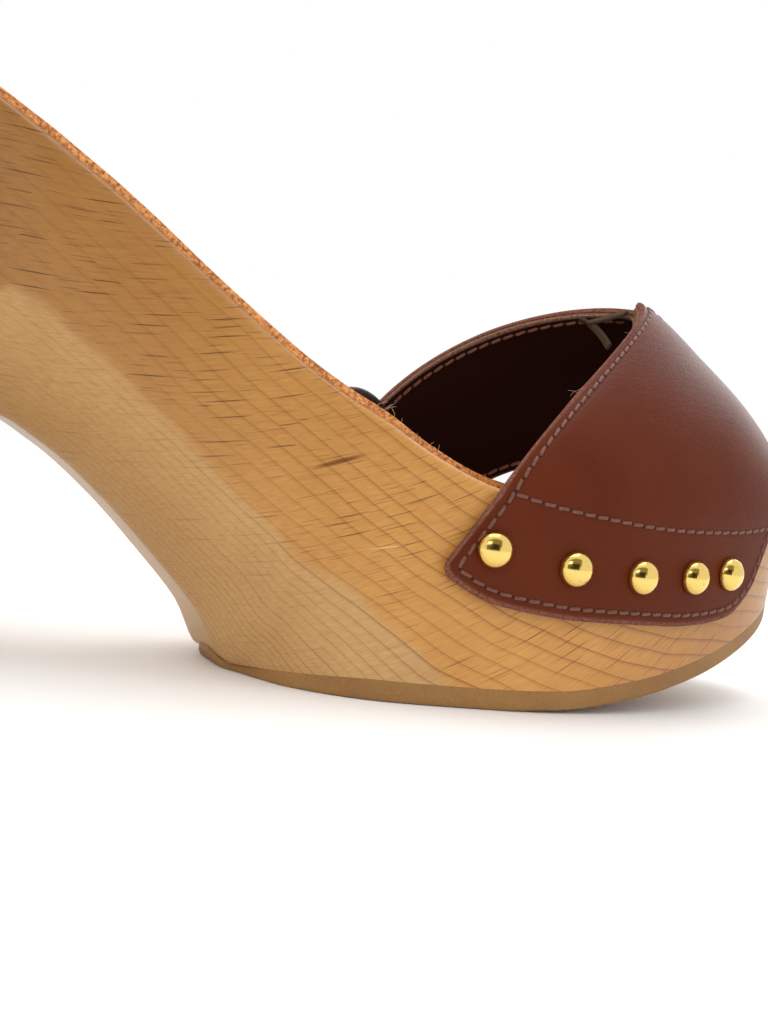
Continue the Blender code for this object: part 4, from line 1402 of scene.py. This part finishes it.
class SandalWood(bpy.types.PropertyGroup):
    side_colour: colour_property("#D09A50", "Forefoot", "Varnished beech on the side of the forefoot")
    # The heel colour is painted shade: it makes the side darker toward the heel.
    heel_shade_colour: colour_property("#7F531D", "Heel", "Painted shade, darker toward the heel")
    # Facet colours: partly the beech's own tone, partly painted reflection of the white floor.
    facet_tone_and_sheen: colour_property("#B08A50", "Facet", "Paler facet of the arch")
    under_tone_and_sheen: colour_property("#C4A06C", "Facet to the front", "Facet where it meets the tread")
    ring_drift: FloatProperty(name="Ring drift", description="In rings", default=0.9, min=0.0)
    line_strength: FloatProperty(
        name="Ring lines", description="Share of their colour", default=1.0, min=0.0, max=1.0
    )


class SandalRubber(bpy.types.PropertyGroup):
    colour: colour_property("#8A602A", "Rubber", "Outsole and heel tip")
    worn_colour: colour_property("#9A7038", "Worn", "Rubbed patches")


class SandalLeather(bpy.types.PropertyGroup):
    insole_colour: colour_property("#B4825A", "Insole", "Top of the insole")
    thread_colour: colour_property("#744532", "Thread", "Stitches of the upper")
    stitch_pitch: FloatProperty(name="Stitch pitch", description="In millimetres", default=3.2, min=1.0)
    stitch_inset: FloatProperty(
        name="Seam inset", description="From the edge, in millimetres", default=2.2, min=1.0
    )
    thread_size: FloatProperty(name="Thread", description="Radius in millimetres", default=0.41, min=0.05)


class SandalBrass(bpy.types.PropertyGroup):
    colour: colour_property("#EDCB74", "Brass", "Nail heads")


class SandalStage(bpy.types.PropertyGroup):
    floor_colour: colour_property("#FBFBFA", "Floor", "Plain pale floor")
    key_power: FloatProperty(name="Key light", description="Softbox, in watts", default=4.5, min=0.0)
    sky: FloatProperty(name="Sky", description="Strength of the white surround", default=1.0, min=0.0)


class SANDAL_OT_stage(bpy.types.Operator):
    """Camera, pale floor and soft studio light"""

    bl_idname = "sandal.stage"
    bl_label = "Stage"

    def execute(self, context):
        settings = context.scene.sandal_stage
        add_camera()
        add_floor(linear_of(settings.floor_colour))
        for name, (location, target, size, share) in SOFTBOXES.items():
            add_light(name, location, target, size, share * settings.key_power)
        for name, card in CARDS.items():
            add_card(name, *card)
        world = bpy.data.worlds.new("white_surround")
        context.scene.world = world
        world.use_nodes = True
        world.node_tree.nodes["Background"].inputs[0].default_value = linear("#FFFFFF")
        world.node_tree.nodes["Background"].inputs[1].default_value = settings.sky
        context.scene.view_settings.view_transform = "Standard"
        return {"FINISHED"}


class SANDAL_OT_sole(bpy.types.Operator):
    """Beech sole with its heel"""

    bl_idname = "sandal.sole"
    bl_label = "Beech sole"

    def execute(self, context):
        ring, facet, count = sole_points()
        marks = {"facet": facet, "ring": count}
        add_rings("beech_sole", ring, beech(), "beech", ["wood_sole"], marks)
        return {"FINISHED"}


class SANDAL_OT_rubber(bpy.types.Operator):
    """Forefoot outsole and heel tip"""

    bl_idname = "sandal.rubber"
    bl_label = "Rubber"

    def execute(self, context):
        material = rubber()
        add_rings("forefoot_rubber", outsole_points(), material, "rubber", ["rubber_outsole"])
        add_rings("heel_rubber", lift_points(), material, "rubber", ["heel_lift"])
        return {"FINISHED"}


class SANDAL_OT_insole(bpy.types.Operator):
    """Leather insole"""

    bl_idname = "sandal.insole"
    bl_label = "Insole"

    def execute(self, context):
        ring, mark = insole_points()
        marks = {"edge": mark}
        add_rings("leather_insole", ring, insole_leather(), "insole_leather", ["insole"], marks)
        return {"FINISHED"}


class SANDAL_OT_upper(bpy.types.Operator):
    """Two panels and their linings"""

    bl_idname = "sandal.upper"
    bl_label = "Upper"

    def execute(self, context):
        inset = context.scene.sandal_leather.stitch_inset
        face = upper_leather("glazed_cowhide", "#5E2812", "#86584A", 0.4, 0.08)
        # The lining's near-black colour is the face's brown darkened by painted shade inside the upper.
        lining = upper_leather("lining_leather_painted_shade", "#240C07", "#8A6A58", 0.6, 0.1)
        for label, panel, columns, rows in (("outer", OUTER, 190, 170), ("inner", INNER, 150, 150)):
            nodes = ["upper"] if label == "outer" else []
            points, faces, edge = face_layer(panel, columns, rows, inset)
            add_piece(f"{label}_panel", points, faces, face, "upper_leather", nodes, {"edge": edge})
            points, faces, edge = lining_layer(panel, columns // 2, rows // 2)
            add_piece(f"{label}_lining", points, faces, lining, "upper_leather", (), {"edge": edge})
        return {"FINISHED"}


class SANDAL_OT_seams(bpy.types.Operator):
    """Stitches and awl holes"""

    bl_idname = "sandal.seams"
    bl_label = "Seams"

    def execute(self, context):
        settings = context.scene.sandal_leather
        # dark is the painted shade of the awl holes.
        yarn, dark = thread(), painted_hole_shade()
        for label, panel in (("outer", OUTER), ("inner", INNER)):
            loop, rung = stitch_lines(panel, settings.stitch_inset)
            for side, sign, off in (("face", 1.0, LEATHER / 2 - 0.14), ("back", -1.0, -LEATHER / 2)):
                runs = [
                    even_path(panel, path, off, settings.stitch_pitch, closed)
                    for path, closed in ((loop, panel is OUTER), (rung, False))
                ]
                long = settings.stitch_pitch * STITCH_SHARE
                threads = [stitches(*run, long, settings.thread_size, STITCH_RISE, sign) for run in runs]
                pits = [holes(*run, AWL_RADIUS, sign) for run in runs]
                for kind, parts, material in (("stitches", threads, yarn), ("awl_holes", pits, dark)):
                    points = np.concatenate([part for part, _ in parts])
                    first, second = (faces for _, faces in parts)
                    faces = np.concatenate([first, second + len(parts[0][0])])
                    add_piece(f"{label}_{side}_{kind}", points, faces, material, "upper_leather")
        return {"FINISHED"}


class SANDAL_OT_details(bpy.types.Operator):
    """Fold under the crossing, small tab at the far edge and loose fibres"""

    bl_idname = "sandal.details"
    bl_label = "Details"

    def execute(self, context):
        suede = upper_leather("folded_suede", "#4A3A2C", "#8A7460", 0.8, 0.1)
        # The tab's dark colour is partly the leather's own and partly painted shade inside its curl.
        dark = upper_leather("tab_leather_painted_shade", "#2E1814", "#8A6450", 0.45, 0.4)
        for name, (path, wide, thick) in DETAILS.items():
            points, faces = strap(path, wide, thick)
            edge = {"edge": np.zeros(len(points))}
            add_piece(name, points, faces, dark if "tab" in name else suede, "upper_leather", (), edge)
        rng = np.random.default_rng(11)
        x = rng.uniform(*FIBRE_X, FIBRE_COUNT)
        st = Stations(SOLE.where("top_x", x))
        margin = insole_margin(st)
        roots = [st.footbed(-1.0, FIT_GAP + INSOLE * rng.uniform(0.3, 1.0, len(x)), margin - 0.05)]
        ways = [unit(rng.normal((0.0, -0.5, 0.9), 0.45, (len(x), 3)))]
        lengths = [rng.uniform(0.5, 2.2, len(x))]
        share = np.array(FIBRE_SHARES)
        points, _ = OUTER.surface(0.0 * share, share)
        roots.append(points)
        ways.append(unit(rng.normal((-0.7, 0.0, 0.6), 0.3, (len(share), 3))))
        lengths.append(rng.uniform(1.6, 2.6, len(share)))
        made = hairs(*(np.concatenate(part) for part in (roots, ways, lengths)), 3)
        add_piece("loose_fibres", *made, fibre_material(), "upper_leather")
        return {"FINISHED"}


class SANDAL_OT_nails(bpy.types.Operator):
    """Domed brass nails"""

    bl_idname = "sandal.nails"
    bl_label = "Nails"

    def execute(self, context):
        material = brass()
        rows = (("outer", OUTER, NAIL_X, NAIL_GAPS), ("inner", INNER, INNER_NAIL_X, INNER_NAIL_GAPS))
        for label, panel, first_x, gaps in rows:
            for number, (position, out) in enumerate(nail_places(panel, first_x, gaps), 1):
                name = f"nail_{label}_{number}"
                add_rings(f"brass_{name}", nail_points(position, out), material, "brass", [name])
        return {"FINISHED"}


class SANDAL_PT_panel(bpy.types.Panel):
    bl_idname = "SANDAL_PT_panel"
    bl_label = "Wooden sole sandal"
    bl_space_type = "VIEW_3D"
    bl_region_type = "UI"
    bl_category = "Sandal"

    def draw(self, context):
        for group in GROUPS.values():
            settings = getattr(context.scene, group)
            for name in settings.bl_rna.properties.keys():
                if name not in ("rna_type", "name"):
                    self.layout.prop(settings, name)
        for operator in OPERATORS:
            self.layout.operator(operator.bl_idname)


GROUPS = {
    SandalWood: "sandal_wood",
    SandalRubber: "sandal_rubber",
    SandalLeather: "sandal_leather",
    SandalBrass: "sandal_brass",
    SandalStage: "sandal_stage",
}
OPERATORS = (
    SANDAL_OT_stage,
    SANDAL_OT_sole,
    SANDAL_OT_rubber,
    SANDAL_OT_insole,
    SANDAL_OT_upper,
    SANDAL_OT_seams,
    SANDAL_OT_details,
    SANDAL_OT_nails,
)


def register():
    for made in (*GROUPS, *OPERATORS, SANDAL_PT_panel):
        bpy.utils.register_class(made)
    for made, name in GROUPS.items():
        setattr(bpy.types.Scene, name, PointerProperty(type=made))


def unregister():
    for name in GROUPS.values():
        delattr(bpy.types.Scene, name)
    for made in (SANDAL_PT_panel, *reversed(OPERATORS), *reversed(GROUPS)):
        bpy.utils.unregister_class(made)


def main():
    register()
    for name in ("stage", "sole", "rubber", "insole", "upper", "seams", "details", "nails"):
        getattr(bpy.ops.sandal, name)()


if __name__ == "__main__":
    main()
